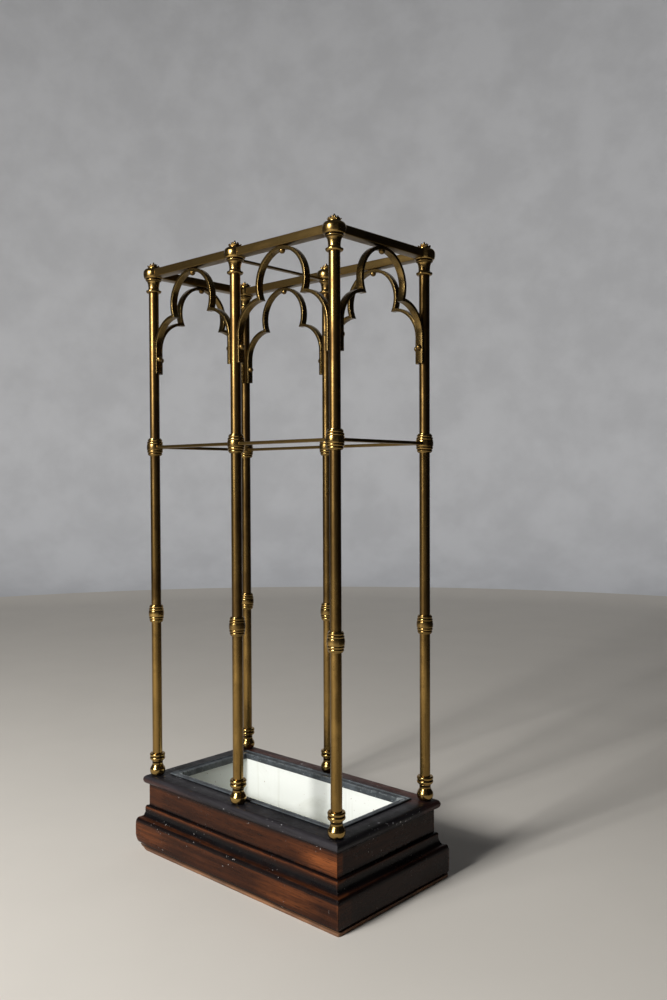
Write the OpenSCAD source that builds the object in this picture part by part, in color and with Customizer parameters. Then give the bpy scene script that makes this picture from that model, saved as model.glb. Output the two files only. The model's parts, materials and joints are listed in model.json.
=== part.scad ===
// Free-standing stand for sticks and umbrellas: six turned brass columns on a moulded mahogany base,
// joined by top rails, mid rails and trefoil arches, over a lift-out drip tray.
// Origin: centre of the underside of the base. X runs along the long side, Z is up.

/* [Layout] */
// Centre distance between neighbouring columns, the same along both sides
bay = 133; // [115:1:170]

/* [Base] */
// Thickness of the bottom board
board_t = 3.5; // [2.5:0.5:7]
// How far the edge of the bottom board is set back from the face of the plinth
board_setback = 0.3; // [0:0.1:4]
// Height of the plinth moulding
plinth_h = 42.5; // [34:0.5:52]
// Reach of the plinth's face beyond the column lines
plinth_reach = 17.3; // [16:0.1:20]
// Height of the fillet at the top of the plinth
fillet_h = 5.2; // [3:0.1:6]
// Reach of that fillet beyond the column lines
fillet_reach = 9.7; // [8.5:0.1:11]
// Radius of the fillet's rounded upper edge
fillet_r = 2.2; // [0.5:0.1:2.5]
// Height of the hollow moulding below the fillet
cavetto_h = 7.6; // [5:0.1:9]
// Reach of the lower edge of the hollow moulding
cavetto_reach = 13.8; // [12:0.1:15]
// Height of the rounded shoulder below the hollow
shoulder_h = 6.8; // [4:0.1:9]
// Width of the flat step between the hollow and the shoulder
step_w = 0.6; // [0.2:0.1:0.8]
// Radius of the plinth's rounded lower edge
under_r = 3.8; // [2:0.1:6]
// Height of the frieze
frieze_h = 23.5; // [16:0.5:40]
// Reach of the frieze's face beyond the column lines
frieze_reach = 6.5; // [5:0.1:7]
// Thickness of the top frame, whose outer edge is a full round
top_t = 10; // [8:0.5:14]
// Reach of the top frame's round edge beyond the column lines
top_reach = 11.4; // [9:0.1:14]
// Distance from the column lines in to the inner face of plinth and frieze
board_inset = 7; // [6:0.5:8]
// Side of the glue block in each inner corner
block_w = 8; // [5:0.5:8]

/* [Drip tray] */
// Distance from the column lines in to the edge of the tray opening
tray_inset = 14.6; // [14:0.1:20]
// Clearance between the pan and the opening, on each side
tray_gap = 0.8; // [0.5:0.1:1.5]
// Depth of the pan below the top of the base
pan_depth = 57; // [30:1:64]
// Thickness of the pan's sheet metal
pan_t = 1; // [0.6:0.1:1.2]
// Corner radius of the pan, outside
pan_corner_r = 3; // [3:0.5:8]
// Width of the rim that rests on the base, outside the opening
rim_w = 4; // [3:0.1:4.5]
// Corner radius of the rim's outer edge
rim_corner = 2.5; // [1.5:0.5:5]
// Thickness of the rim
rim_t = 0.8; // [0.6:0.1:1.5]
// Depth of the rim's inner lip
lip_depth = 5.5; // [3:0.5:10]
// Diameter of the rolled edge of the rim
bead_d = 1.8; // [1.4:0.1:2.4]

/* [Columns] */
// Outer diameter of the shaft tube
shaft_d = 10.6; // [9.6:0.1:11]
// Bore of the shaft tube
shaft_bore_d = 8.6; // [7:0.1:8.8]
// Height of the turned foot
foot_h = 24.5; // [23:0.25:30]
// Largest diameter of the foot's bulb
foot_bulb_d = 16.6; // [15:0.1:17]
// Diameter of the foot where it stands on the base
foot_pad_d = 10.6; // [9:0.1:13]
// Height of the bulb's widest point
foot_bulb_h = 5.5; // [4:0.25:7]
// Height at which the foot's flare meets its neck
foot_neck_h = 13; // [11:0.25:14.5]
// Diameter of the foot's neck
foot_neck_d = 11.4; // [10:0.1:12]
// Height of the double bead at the top of the foot
foot_ring_h = 7.5; // [6:0.25:8]
// Diameter of the foot's beads
foot_ring_d = 16.6; // [15:0.1:17.5]
// Depth of the socket that holds the tube in the foot
foot_socket = 7; // [5:0.25:8]
// Height of the lower ring's centre above the base
ring_rise = 178; // [120:0.5:240]
// Height of the lower ring and of the mid collar
barrel_h = 19; // [18:0.5:26]
// Largest diameter of the lower ring
ring_d = 16.6; // [15.5:0.1:18]
// Diameter of the ends of the lower ring and the mid collar
barrel_end_d = 13.4; // [13:0.1:14.5]
// Height of each bead of the lower ring and the mid collar
reed_h = 2.7; // [2:0.1:3]
// Height of the mid collar's centre above the base
collar_rise = 359.5; // [300:0.5:430]
// Largest diameter of the mid collar
collar_d = 17.5; // [16.8:0.1:20]
// Height of the underside of the capital above the base
capital_rise = 526.5; // [500:0.5:600]
// Height of the capital's sharp ring
cap_ring_h = 5; // [4.5:0.1:6]
// Diameter of the capital's sharp ring
cap_ring_d = 16.4; // [15:0.1:18]
// Height of the capital's bell
bell_h = 9.5; // [8:0.1:12]
// Diameter of the bell at its neck
bell_neck_d = 11.4; // [11:0.1:12.5]
// Diameter of the bell's lip
bell_lip_d = 17.2; // [16:0.1:18]
// Height of the groove between bell and boss
groove_h = 0.9; // [0.5:0.1:2]
// Diameter at the bottom of that groove
groove_d = 15.6; // [14:0.1:16]
// Height of the rounded boss that takes the top rails
boss_h = 10.6; // [10:0.1:13]
// Diameter of the boss
boss_d = 21.8; // [20:0.1:24]
// Diameter of the boss at its top
boss_top_d = 14.6; // [12:0.1:17]
// Diameter of the boss at its lower edge
boss_low_d = 18.4; // [17:0.1:20]
// Height of the boss's widest point above its lower edge
boss_widest = 5.6; // [4:0.1:7]
// Diameter of the crown nut's base
crown_d = 14; // [12:0.1:15]
// Height of the crown nut's base
crown_base_h = 1.2; // [1:0.1:2]
// Height of the tips of the crown's outer leaves
crown_leaf_h = 3.8; // [3:0.1:4.5]
// Height of the tips of the crown's inner leaves
crown_inner_h = 5.9; // [5:0.1:6.5]
// Diameter of the ring of inner leaves at their tips
crown_inner_d = 8.4; // [7.5:0.1:9]
// Height of the crown's centre point
crown_tip_h = 7.6; // [7:0.1:11]
// Number of leaves in each ring of the crown
crown_leaves = 8; // [6:1:10]

/* [Rails] */
// Height of a top rail
rail_h = 8.3; // [6:0.1:8.5]
// Depth of a top rail
rail_depth = 12; // [9:0.1:13]
// Height of the top rails above the lower face of the boss
rail_lift = 0.9; // [0.5:0.1:1.5]
// How far a top rail enters the boss
rail_tenon = 3.6; // [2.5:0.1:3.8]
// Height of a mid rail
mid_rail_h = 3.2; // [2.5:0.1:5]
// Depth of a mid rail
mid_rail_depth = 8; // [6:0.1:9]
// How far a mid rail enters the collar
mid_tenon = 2.3; // [1.5:0.1:2.4]
// Width of the cross bar between the middle columns
cross_w = 5; // [4:0.1:7]
// Thickness of the cross bar
cross_t = 2.3; // [2:0.1:3]
// How far the cross bar enters the bell's lip
cross_tenon = 3; // [2:0.1:3.5]

/* [Arches] */
// Radius of the inner face of each lobe
lobe_r = 30; // [27:0.1:31]
// Thickness of the arch strip
strip_t = 3.3; // [2.5:0.1:4.5]
// Depth of the arch strip
strip_depth = 7.4; // [6:0.1:8]
// Drop from the centre of the upper lobe to the centres of the lower lobes
lobe_drop = 44; // [40:0.5:46]
// Length of the straight foot below the lower lobes' centres
arch_leg = 26.5; // [22:0.5:45]
// Height of the foot screws above the end of the strip
screw_rise = 15.5; // [8:0.5:20]

/* [Fasteners] */
// Diameter of the tie rod in each column
rod_d = 4; // [3:0.1:4.4]
// Height of a rod nut
nut_h = 3.2; // [2.5:0.1:5]
// Size of a rod nut across its corners
nut_d = 8; // [7:0.1:10]
// Diameter of a washer
washer_d = 12; // [11:0.1:14]
// Thickness of a washer
washer_t = 1; // [0.8:0.1:1.5]
// Depth of the crown nut's thread hole
crown_hole = 3.2; // [2.6:0.1:3.6]
// Diameter of the ball head of an arch screw
ball_d = 6.2; // [5:0.1:7]
// Distance of the ball's centre from the strip
ball_out = 0.5; // [0.3:0.1:2]
// Diameter of an arch screw's shank
screw_d = 2.5; // [2:0.1:2.6]
// How far a top arch screw enters the rail
screw_hold = 5; // [3:0.1:5.5]
// Diameter of a bottom board screw's shank
wood_screw_d = 3; // [2.5:0.1:4]
// Length of a bottom board screw
wood_screw_l = 16; // [12:0.5:20]
// Head diameter of a bottom board screw
wood_head_d = 6.4; // [5.5:0.1:7.5]

/* [Fits] */
// Clearance of a seated fit, on each side
fit_gap = 0.05; // [0.03:0.01:0.1]
// Clearance of a rod or screw in its hole, on each side
hole_gap = 0.15; // [0.1:0.01:0.2]
// Clearance of a washer in its pocket, on each side
washer_gap = 0.5; // [0.2:0.1:1]

/* [Hidden] */
$fn = 48;
arc_steps = 6;
cut = 1;
base_h = board_t + plinth_h + frieze_h + top_t;
frieze_z = board_t + plinth_h;
top_z = frieze_z + frieze_h;
half_l = bay;
half_w = bay / 2;
opening_l = 2 * (half_l - tray_inset);
opening_w = 2 * (half_w - tray_inset);
pan_l = opening_l - 2 * tray_gap;
pan_w = opening_w - 2 * tray_gap;
pan_corner_in = pan_corner_r - pan_t;
shaft_r = shaft_d / 2;
bore_r = shaft_r + fit_gap;
rod_hole_d = rod_d + 2 * hole_gap;
screw_hole_d = screw_d + 2 * hole_gap;
capital_z = base_h + capital_rise;
cap_socket = cap_ring_h - 1;
boss_z = capital_z + cap_ring_h + bell_h + groove_h;
crown_z = boss_z + boss_h;
rail_z = boss_z + rail_lift;
rail_end = boss_d / 2 - rail_tenon;
collar_z = base_h + collar_rise;
mid_end = collar_d / 2 - mid_tenon;
cross_z = rail_z - cross_t;
cross_end = bell_lip_d / 2 - cross_tenon;
shaft_z = base_h + foot_h - foot_socket + fit_gap;
shaft_top = capital_z + cap_socket - fit_gap;
strip_r = lobe_r + strip_t;
lobe_x = half_w - shaft_r - fit_gap - strip_r;
upper_z = rail_z - strip_r;
lower_z = upper_z - lobe_drop;
arch_z = lower_z - arch_leg;
leg_in = lobe_x + lobe_r;
leg_out = lobe_x + strip_r;
screw_z = arch_z + screw_rise;
end_play = 0.4;
screw_tip_r = rod_d / 2 + 2 * end_play;
wood_head_h = (wood_head_d - wood_screw_d) / 2;
nut_space = nut_h + washer_t + 3 * end_play;
washer_z = board_t + nut_space - washer_t;
rod_z = board_t + end_play;
rod_top = crown_z + crown_hole - end_play;
brass = "#a8863a";
dull_brass = "#7d6430";
mahogany = "#5a1f14";
dark_wood = "#26262a";
pine = "#a9743f";
iron = "#55565a";

// Columns are named by their place: i counts along X (-1, 0, 1) and j along Y (-1, 1).
// A bay is named by its middle and the direction that it runs in.
columns = [for (j = [-1, 1], i = [-1, 0, 1]) [i, j]];
bays = concat(
    [for (j = [-1, 1], i = [-1, 1]) [i * bay / 2, j * half_w, 0]],
    [for (i = [-1, 1]) [i * half_l, 0, 90]]
);

// Directions in which a column has a neighbour along the outside of the stand
function rail_angles(i, j) = concat(
    i < 1 ? [0] : [],
    i > -1 ? [180] : [],
    i == 0 ? [] : [-90 * j]
);

// Points of an elliptical arc
function arc(x, y, rx, ry, a0, a1) =
    [for (s = [0:arc_steps]) let (a = a0 + (a1 - a0) * s / arc_steps) [x + rx * cos(a), y + ry * sin(a)]];

// Outline of one turned bead between two heights, bulging out to radius r
function bead(r, z0, z1, bulge) = arc(r - bulge, (z0 + z1) / 2, bulge, (z1 - z0) / 2, -90, 90);

// Outline of an ogee that runs from radius r0 to radius r1
function ogee(r0, r1, z0, z1) = [for (s = [0:arc_steps + 2]) let (t = s / (arc_steps + 2))
    [r1 + (r0 - r1) * (1 + cos(180 * t)) / 2, z0 + (z1 - z0) * t]];

module at_column(i, j, z = 0) translate([i * bay, j * half_w, z]) children();

module at_bay(b) translate([b[0], b[1], 0]) rotate([0, 0, b[2]]) children();

// A solid turned from an outline of radius and height, open down to radius r_in
module turned(outline, r_in) rotate_extrude() polygon(
    concat(outline, [[r_in, outline[len(outline) - 1][1]], [r_in, outline[0][1]]])
);

// A rectangle with round corners
module round_plan(l, w, r) {
    square([l - 2 * r, w], center = true);
    square([l, w - 2 * r], center = true);
    for (x = [-1, 1], y = [-1, 1]) translate([x * (l / 2 - r), y * (w / 2 - r)]) circle(r);
}

// Plan of one board of a mitred frame, from inner distance to outer distance past the column lines
module mitre_plan(half_run, half_side, inner, outer)
    polygon([
        [-half_run - outer, -half_side - outer], [half_run + outer, -half_side - outer],
        [half_run + inner, -half_side - inner], [-half_run - inner, -half_side - inner]
    ]);

// One moulded board on the side at -Y of a frame, drilled for the rods that it holds
// The frame is half_run long and half_side wide to the column lines, and stations are the rods' places
module moulded_board(outline, z, h, half_run, half_side, inner, outer, stations)
    difference() {
        intersection() {
            translate([-half_run - outer, -half_side, z]) rotate([90, 0, 90])
                linear_extrude(2 * (half_run + outer)) polygon([for (p = outline) [-p[0], p[1]]]);
            translate([0, 0, z - cut]) linear_extrude(h + 2 * cut)
                mitre_plan(half_run, half_side, inner, outer);
        }
        for (x = stations) translate([x, -half_side, z - cut]) cylinder(d = rod_hole_d, h = h + 2 * cut);
    }

long_stations = [-bay, 0, bay];
end_stations = [-half_w, half_w];

plinth_face_z = plinth_h - fillet_h - cavetto_h - shoulder_h;
plinth_outline = concat(
    [[-board_inset, 0]],
    arc(plinth_reach - under_r, under_r, under_r, under_r, -90, 0),
    arc(cavetto_reach + step_w, plinth_face_z, plinth_reach - cavetto_reach - step_w, shoulder_h, 0, 90),
    arc(cavetto_reach, plinth_h - fillet_h, cavetto_reach - fillet_reach, cavetto_h, 270, 180),
    arc(fillet_reach - fillet_r, plinth_h - fillet_r, fillet_r, fillet_r, 0, 90),
    [[-board_inset, plinth_h]]
);
top_outline = concat(
    [[-tray_inset, 0]],
    arc(top_reach - top_t / 2, top_t / 2, top_t / 2, top_t / 2, -90, 90),
    [[-tray_inset, top_t]]
);

// Places of the bottom board's screws, along the middle of the plinth
screw_line = (plinth_reach - board_inset) / 2;
board_screw_places = concat(
    [for (x = [-0.75, 0.25, 0.75, -0.25], j = [-1, 1]) [x * bay, j * (half_w + screw_line)]],
    [for (i = [-1, 1]) [i * (half_l + screw_line), 0]]
);

module bottom_board() color(pine) difference() {
    translate([0, 0, board_t / 2]) cube([
        2 * (half_l + plinth_reach - board_setback), 2 * (half_w + plinth_reach - board_setback), board_t
    ], center = true);
    for (p = board_screw_places) translate([p[0], p[1], 0]) board_screw_space();
}

// Space of one countersunk screw, seen from below
module board_screw_space() {
    translate([0, 0, -cut]) cylinder(d = wood_screw_d + 2 * hole_gap, h = wood_screw_l + 2 * cut);
    cylinder(d1 = wood_head_d + 2 * hole_gap, d2 = wood_screw_d, h = wood_head_h + hole_gap);
}

module plinth_board(half_run, half_side, stations) difference() {
    moulded_board(
        plinth_outline, board_t, plinth_h, half_run, half_side, -board_inset, plinth_reach, stations
    );
    for (x = stations) translate([x, -half_side, board_t - cut])
        cylinder(d = washer_d + 2 * washer_gap, h = nut_space + cut);
}

module plinth_screw_holes() for (p = board_screw_places) translate([p[0], p[1], 0]) board_screw_space();

module plinth_front() color(mahogany) difference() {
    plinth_board(half_l, half_w, long_stations);
    plinth_screw_holes();
}

module plinth_back() color(mahogany) difference() {
    rotate([0, 0, 180]) plinth_board(half_l, half_w, long_stations);
    plinth_screw_holes();
}

module plinth_left() color(mahogany) difference() {
    rotate([0, 0, -90]) plinth_board(half_w, half_l, end_stations);
    plinth_screw_holes();
}

module plinth_right() color(mahogany) difference() {
    rotate([0, 0, 90]) plinth_board(half_w, half_l, end_stations);
    plinth_screw_holes();
}

frieze_outline = [[-board_inset, 0], [frieze_reach, 0], [frieze_reach, frieze_h], [-board_inset, frieze_h]];

module frieze_board(half_run, half_side, stations)
    moulded_board(
        frieze_outline, frieze_z, frieze_h, half_run, half_side, -board_inset, frieze_reach, stations
    );

module frieze_long_boards() color(mahogany)
    for (a = [0, 180]) rotate([0, 0, a]) frieze_board(half_l, half_w, long_stations);

module frieze_end_boards() color(mahogany)
    for (a = [-90, 90]) rotate([0, 0, a]) frieze_board(half_w, half_l, end_stations);

module top_board(half_run, half_side, stations)
    moulded_board(top_outline, top_z, top_t, half_run, half_side, -tray_inset, top_reach, stations);

module top_frame_front() color(dark_wood) top_board(half_l, half_w, long_stations);
module top_frame_back() color(dark_wood) rotate([0, 0, 180]) top_board(half_l, half_w, long_stations);
module top_frame_left() color(dark_wood) rotate([0, 0, -90]) top_board(half_w, half_l, end_stations);
module top_frame_right() color(dark_wood) rotate([0, 0, 90]) top_board(half_w, half_l, end_stations);

module glue_blocks() color(pine) for (x = [-1, 1], y = [-1, 1])
    translate([
        x * (half_l - board_inset - block_w / 2), y * (half_w - board_inset - block_w / 2),
        (board_t + top_z) / 2
    ]) cube([block_w, block_w, top_z - board_t], center = true);

module board_screws() color(iron) for (p = board_screw_places) translate([p[0], p[1], hole_gap]) {
    cylinder(d = wood_screw_d, h = wood_screw_l - hole_gap);
    cylinder(d1 = wood_head_d, d2 = wood_screw_d, h = wood_head_h);
}

module drip_tray() color("#cfd3c6") translate([0, 0, base_h - pan_depth]) difference() {
    linear_extrude(pan_depth) round_plan(pan_l, pan_w, pan_corner_r);
    translate([0, 0, pan_t]) linear_extrude(pan_depth)
        round_plan(pan_l - 2 * pan_t, pan_w - 2 * pan_t, pan_corner_in);
}

// A rod bent to a rectangle with round corners, its centre line l by w
module bent_rod(l, w, r, d) {
    for (s = [-1, 1]) {
        translate([-(l / 2 - r), s * w / 2, 0]) rotate([0, 90, 0]) cylinder(d = d, h = l - 2 * r);
        translate([s * l / 2, w / 2 - r, 0]) rotate([90, 0, 0]) cylinder(d = d, h = w - 2 * r);
    }
    for (a = [0:3]) let (x = a == 0 || a == 3 ? 1 : -1, y = a < 2 ? 1 : -1)
        translate([x * (l / 2 - r), y * (w / 2 - r), 0]) rotate([0, 0, 90 * a])
            rotate_extrude(angle = 90) translate([r, 0]) circle(d = d, $fn = 24);
}

rim_l = opening_l + 2 * rim_w;
rim_side = opening_w + 2 * rim_w;
lip_l = pan_l - 2 * (pan_t + fit_gap);
lip_side = pan_w - 2 * (pan_t + fit_gap);

module tray_rim() color("#33383d") difference() {
    union() {
        translate([0, 0, base_h]) linear_extrude(rim_t) round_plan(rim_l, rim_side, rim_corner);
        translate([0, 0, base_h - lip_depth]) linear_extrude(lip_depth + rim_t)
            round_plan(lip_l, lip_side, pan_corner_in - fit_gap);
        translate([0, 0, base_h + bead_d / 2 + fit_gap]) bent_rod(rim_l, rim_side, rim_corner, bead_d);
    }
    translate([0, 0, base_h - lip_depth - cut]) linear_extrude(lip_depth + rim_t + 2 * cut)
        round_plan(lip_l - 2 * pan_t, lip_side - 2 * pan_t, pan_corner_in - fit_gap - pan_t);
}

foot_edge = 0.3;
foot_band = 0.6;
neck_bead_h = 1.4;
neck_bead_out = 0.7;
foot_bulge = 1.2;
foot_ring_z = foot_h - foot_ring_h;
foot_bead_z = foot_ring_z + foot_ring_h / 2;
foot_outline = concat(
    [[foot_pad_d / 2, 0]],
    arc(foot_pad_d / 2, foot_bulb_h, (foot_bulb_d - foot_pad_d) / 2, foot_bulb_h - foot_edge, -90, 0),
    ogee(foot_bulb_d / 2, foot_neck_d / 2, foot_bulb_h + foot_band, foot_neck_h),
    bead(foot_neck_d / 2 + neck_bead_out, foot_ring_z - neck_bead_h, foot_ring_z, neck_bead_out),
    bead(foot_ring_d / 2, foot_ring_z, foot_bead_z, foot_bulge),
    bead(foot_ring_d / 2, foot_bead_z, foot_h, foot_bulge)
);

module foot(i, j) color(brass) at_column(i, j, base_h) difference() {
    turned(foot_outline, rod_hole_d / 2);
    translate([0, 0, foot_h - foot_socket]) cylinder(r = bore_r, h = foot_socket + cut);
}

module foot_left_front() foot(-1, -1);
module foot_middle_front() foot(0, -1);
module foot_right_front() foot(1, -1);
module foot_left_back() foot(-1, 1);
module foot_middle_back() foot(0, 1);
module foot_right_back() foot(1, 1);

module shaft(i, j) color(brass) at_column(i, j) difference() {
    translate([0, 0, shaft_z]) cylinder(r = shaft_r, h = shaft_top - shaft_z);
    translate([0, 0, shaft_z - cut]) cylinder(d = shaft_bore_d, h = shaft_top - shaft_z + 2 * cut);
    for (a = rail_angles(i, j)) translate([0, 0, screw_z]) rotate([0, 90, a])
        cylinder(d = screw_hole_d, h = shaft_d);
}

module shaft_left_front() shaft(-1, -1);
module shaft_middle_front() shaft(0, -1);
module shaft_right_front() shaft(1, -1);
module shaft_left_back() shaft(-1, 1);
module shaft_middle_back() shaft(0, 1);
module shaft_right_back() shaft(1, 1);

end_band = 0.8;
reed_bulge = 0.7;
reed_step = 0.3;
middle_bulge = 0.4;

// Half of the reeded outline, from the end up to the middle
function barrel_half(d) = concat(
    [[barrel_end_d / 2, 0], [barrel_end_d / 2, end_band]],
    bead((barrel_end_d + d) / 4, end_band, end_band + reed_h, reed_bulge),
    bead(d / 2 - reed_step, end_band + reed_h, end_band + 2 * reed_h, reed_bulge),
    arc(d / 2 - middle_bulge, barrel_h / 2, middle_bulge, barrel_h / 2 - end_band - 2 * reed_h, -90, 0)
);

function barrel_outline(d) = let (half = barrel_half(d), n = len(half))
    concat(half, [for (s = [1:n - 1]) [half[n - 1 - s][0], barrel_h - half[n - 1 - s][1]]]);

module lower_rings() color(brass) for (c = columns)
    at_column(c[0], c[1], base_h + ring_rise - barrel_h / 2) turned(barrel_outline(ring_d), bore_r);

module mid_collars() color(brass) for (c = columns) at_column(c[0], c[1]) difference() {
    translate([0, 0, collar_z - barrel_h / 2]) turned(barrel_outline(collar_d), bore_r);
    for (a = rail_angles(c[0], c[1])) rotate([0, 0, a])
        translate([mid_end, -mid_rail_depth / 2 - fit_gap, collar_z - mid_rail_h / 2 - fit_gap])
            cube([collar_d, mid_rail_depth + 2 * fit_gap, mid_rail_h + 2 * fit_gap]);
}

cap_ring_edge = cap_ring_h * 0.4;
bell_z = cap_ring_h;
lip_z = cap_ring_h + bell_h;
boss_low = lip_z + groove_h;
lip_edge = 0.3;
lip_band = 0.9;
bell_reach = bell_lip_d / 2 - lip_edge;
capital_outline = concat(
    arc(cap_ring_d / 2 - cap_ring_edge, cap_ring_edge, cap_ring_edge, cap_ring_edge, -90, 0),
    arc(cap_ring_d / 2, cap_ring_h, cap_ring_d / 2 - bell_neck_d / 2, cap_ring_h / 2, 270, 180),
    arc(bell_reach, bell_z, bell_reach - bell_neck_d / 2, bell_h - lip_band - lip_edge, 180, 90),
    [[bell_lip_d / 2, lip_z - lip_band], [bell_lip_d / 2, lip_z - lip_edge], [bell_reach, lip_z],
     [groove_d / 2, lip_z], [groove_d / 2, boss_low]],
    arc(boss_low_d / 2, boss_low + boss_widest, (boss_d - boss_low_d) / 2, boss_widest, -90, 0),
    arc(boss_top_d / 2, boss_low + boss_widest, (boss_d - boss_top_d) / 2, boss_h - boss_widest, 0, 90)
);

module capital(i, j) color(brass) at_column(i, j) difference() {
    translate([0, 0, capital_z]) turned(capital_outline, rod_hole_d / 2);
    translate([0, 0, capital_z - cut]) cylinder(r = bore_r, h = cap_socket + cut);
    for (a = rail_angles(i, j)) rotate([0, 0, a])
        translate([rail_end, -rail_depth / 2 - fit_gap, rail_z - fit_gap])
            cube([boss_d, rail_depth + 2 * fit_gap, rail_h + 2 * fit_gap]);
    if (i == 0) rotate([0, 0, -90 * j]) translate([cross_end, -cross_w / 2 - fit_gap, cross_z - fit_gap])
        cube([boss_d, cross_w + 2 * fit_gap, cross_t + 2 * fit_gap]);
}

module capital_left_front() capital(-1, -1);
module capital_middle_front() capital(0, -1);
module capital_right_front() capital(1, -1);
module capital_left_back() capital(-1, 1);
module capital_middle_back() capital(0, 1);
module capital_right_back() capital(1, 1);

leaf_lean = 0.8;
leaf_edge = 0.2;

// A ring of pointed leaves that lean outward, cut apart by notches; d and h are taken at their tips
module leaf_ring(d, h, root, foot, turn) {
    leaf_angle = 360 / crown_leaves;
    notch = d * sin(leaf_angle / 2) / 2;
    tip = d / 2;
    difference() {
        rotate_extrude($fn = 4 * crown_leaves) polygon([
            [0, 0], [tip - leaf_lean, 0], [tip - leaf_lean, foot], [tip, h - leaf_lean],
            [tip - leaf_edge, h], [tip - leaf_lean, h], [root, foot + leaf_lean], [0, foot + leaf_lean]
        ]);
        for (s = [0:crown_leaves - 1]) rotate([90, 0, leaf_angle * (s + turn)])
            translate([0, 0, -d]) linear_extrude(d - root) polygon([
                [-notch, h + leaf_edge], [0, foot + 2 * leaf_edge], [notch, h + leaf_edge]
            ]);
    }
}

// Crown-shaped cap nut: two rings of pointed leaves, one inside the other, round a centre point
module crown_nut() difference() {
    union() {
        leaf_ring(crown_d, crown_leaf_h, crown_inner_d / 2 - leaf_lean, crown_base_h, 0.5);
        leaf_ring(crown_inner_d, crown_inner_h, rod_hole_d / 2 + leaf_edge, crown_leaf_h - leaf_lean, 0);
        cylinder(d1 = rod_hole_d + 2 * leaf_edge, d2 = leaf_lean, h = crown_tip_h);
    }
    translate([0, 0, -cut]) cylinder(d = rod_hole_d, h = crown_hole + cut);
}

module crown_nuts() color(brass) for (c = columns) at_column(c[0], c[1], crown_z) crown_nut();

// A straight rail between two columns, its end faces at distance seat from their axes
module rail(b, seat, depth, h, z) at_bay(b)
    translate([-bay / 2 + seat + fit_gap, -depth / 2, z]) cube([bay - 2 * (seat + fit_gap), depth, h]);

module top_rail(n) color(dull_brass) difference() {
    rail(bays[n], rail_end, rail_depth, rail_h, rail_z);
    at_bay(bays[n]) translate([0, 0, rail_z - cut])
        cylinder(d = screw_hole_d, h = screw_hold + hole_gap + cut);
}

module top_rail_front_left() top_rail(0);
module top_rail_front_right() top_rail(1);
module top_rail_back_left() top_rail(2);
module top_rail_back_right() top_rail(3);
module top_rail_left_end() top_rail(4);
module top_rail_right_end() top_rail(5);

module cross_bar() color(dull_brass) rail([0, 0, 90], cross_end, cross_w, cross_t, cross_z);

module mid_rail(n) color(dull_brass)
    rail(bays[n], mid_end, mid_rail_depth, mid_rail_h, collar_z - mid_rail_h / 2);

module mid_rail_front_left() mid_rail(0);
module mid_rail_front_right() mid_rail(1);
module mid_rail_back_left() mid_rail(2);
module mid_rail_back_right() mid_rail(3);
module mid_rail_left_end() mid_rail(4);
module mid_rail_right_end() mid_rail(5);

// Three overlapping discs and a straight foot, the outline that bounds the strip on one side
module trefoil(r) {
    translate([0, upper_z]) circle(r, $fn = 96);
    for (s = [-1, 1]) translate([s * lobe_x, lower_z]) circle(r, $fn = 96);
}

module arch(n) color(dull_brass) at_bay(bays[n]) difference() {
    translate([0, strip_depth / 2, 0]) rotate([90, 0, 0]) linear_extrude(strip_depth) difference() {
        union() {
            trefoil(strip_r);
            translate([-leg_out, arch_z]) square([2 * leg_out, arch_leg]);
        }
        trefoil(lobe_r);
        polygon([[-lobe_x, lower_z], [lobe_x, lower_z], [0, upper_z]]);
        translate([-leg_in, arch_z - cut]) square([2 * leg_in, arch_leg + cut]);
        translate([-bay, arch_z - bay]) square([2 * bay, bay]);
    }
    for (a = [0, 180]) rotate([0, 0, a]) translate([leg_in - cut, 0, screw_z]) rotate([0, 90, 0])
        cylinder(d = screw_hole_d, h = strip_t + 2 * cut);
    translate([0, 0, upper_z + lobe_r - cut]) cylinder(d = screw_hole_d, h = strip_t + 2 * cut);
}

module arch_front_left() arch(0);
module arch_front_right() arch(1);
module arch_back_left() arch(2);
module arch_back_right() arch(3);
module arch_left_end() arch(4);
module arch_right_end() arch(5);

// Ball-headed screw that points up, its seat at the origin; the ball is flat where it meets the strip
module ball_screw(l) {
    seat = 0.2;
    translate([0, 0, -2 * seat]) cylinder(d = screw_d, h = l + 2 * seat);
    intersection() {
        translate([0, 0, -ball_out]) sphere(d = ball_d);
        translate([0, 0, -ball_d - seat]) cylinder(d = 2 * ball_d, h = ball_d);
    }
}

module arch_foot_screws() color(brass) for (b = bays, a = [0, 180]) at_bay(b) rotate([0, 0, a])
    translate([leg_in, 0, screw_z]) rotate([0, 90, 0]) ball_screw(bay / 2 - screw_tip_r - leg_in);

module arch_top_screws() color(brass) for (b = bays) at_bay(b)
    translate([0, 0, upper_z + lobe_r]) ball_screw(strip_t + screw_hold);

module tie_rods() color(iron) for (c = columns)
    at_column(c[0], c[1], rod_z) cylinder(d = rod_d, h = rod_top - rod_z);

module rod_nuts() color(iron) for (c = columns) at_column(c[0], c[1], washer_z - nut_h) difference() {
    cylinder(d = nut_d, h = nut_h, $fn = 6);
    translate([0, 0, -cut]) cylinder(d = rod_hole_d, h = nut_h + 2 * cut);
}

module rod_washers() color(iron) for (c = columns) at_column(c[0], c[1], washer_z) difference() {
    cylinder(d = washer_d, h = washer_t);
    translate([0, 0, -cut]) cylinder(d = rod_hole_d, h = washer_t + 2 * cut);
}

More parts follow.
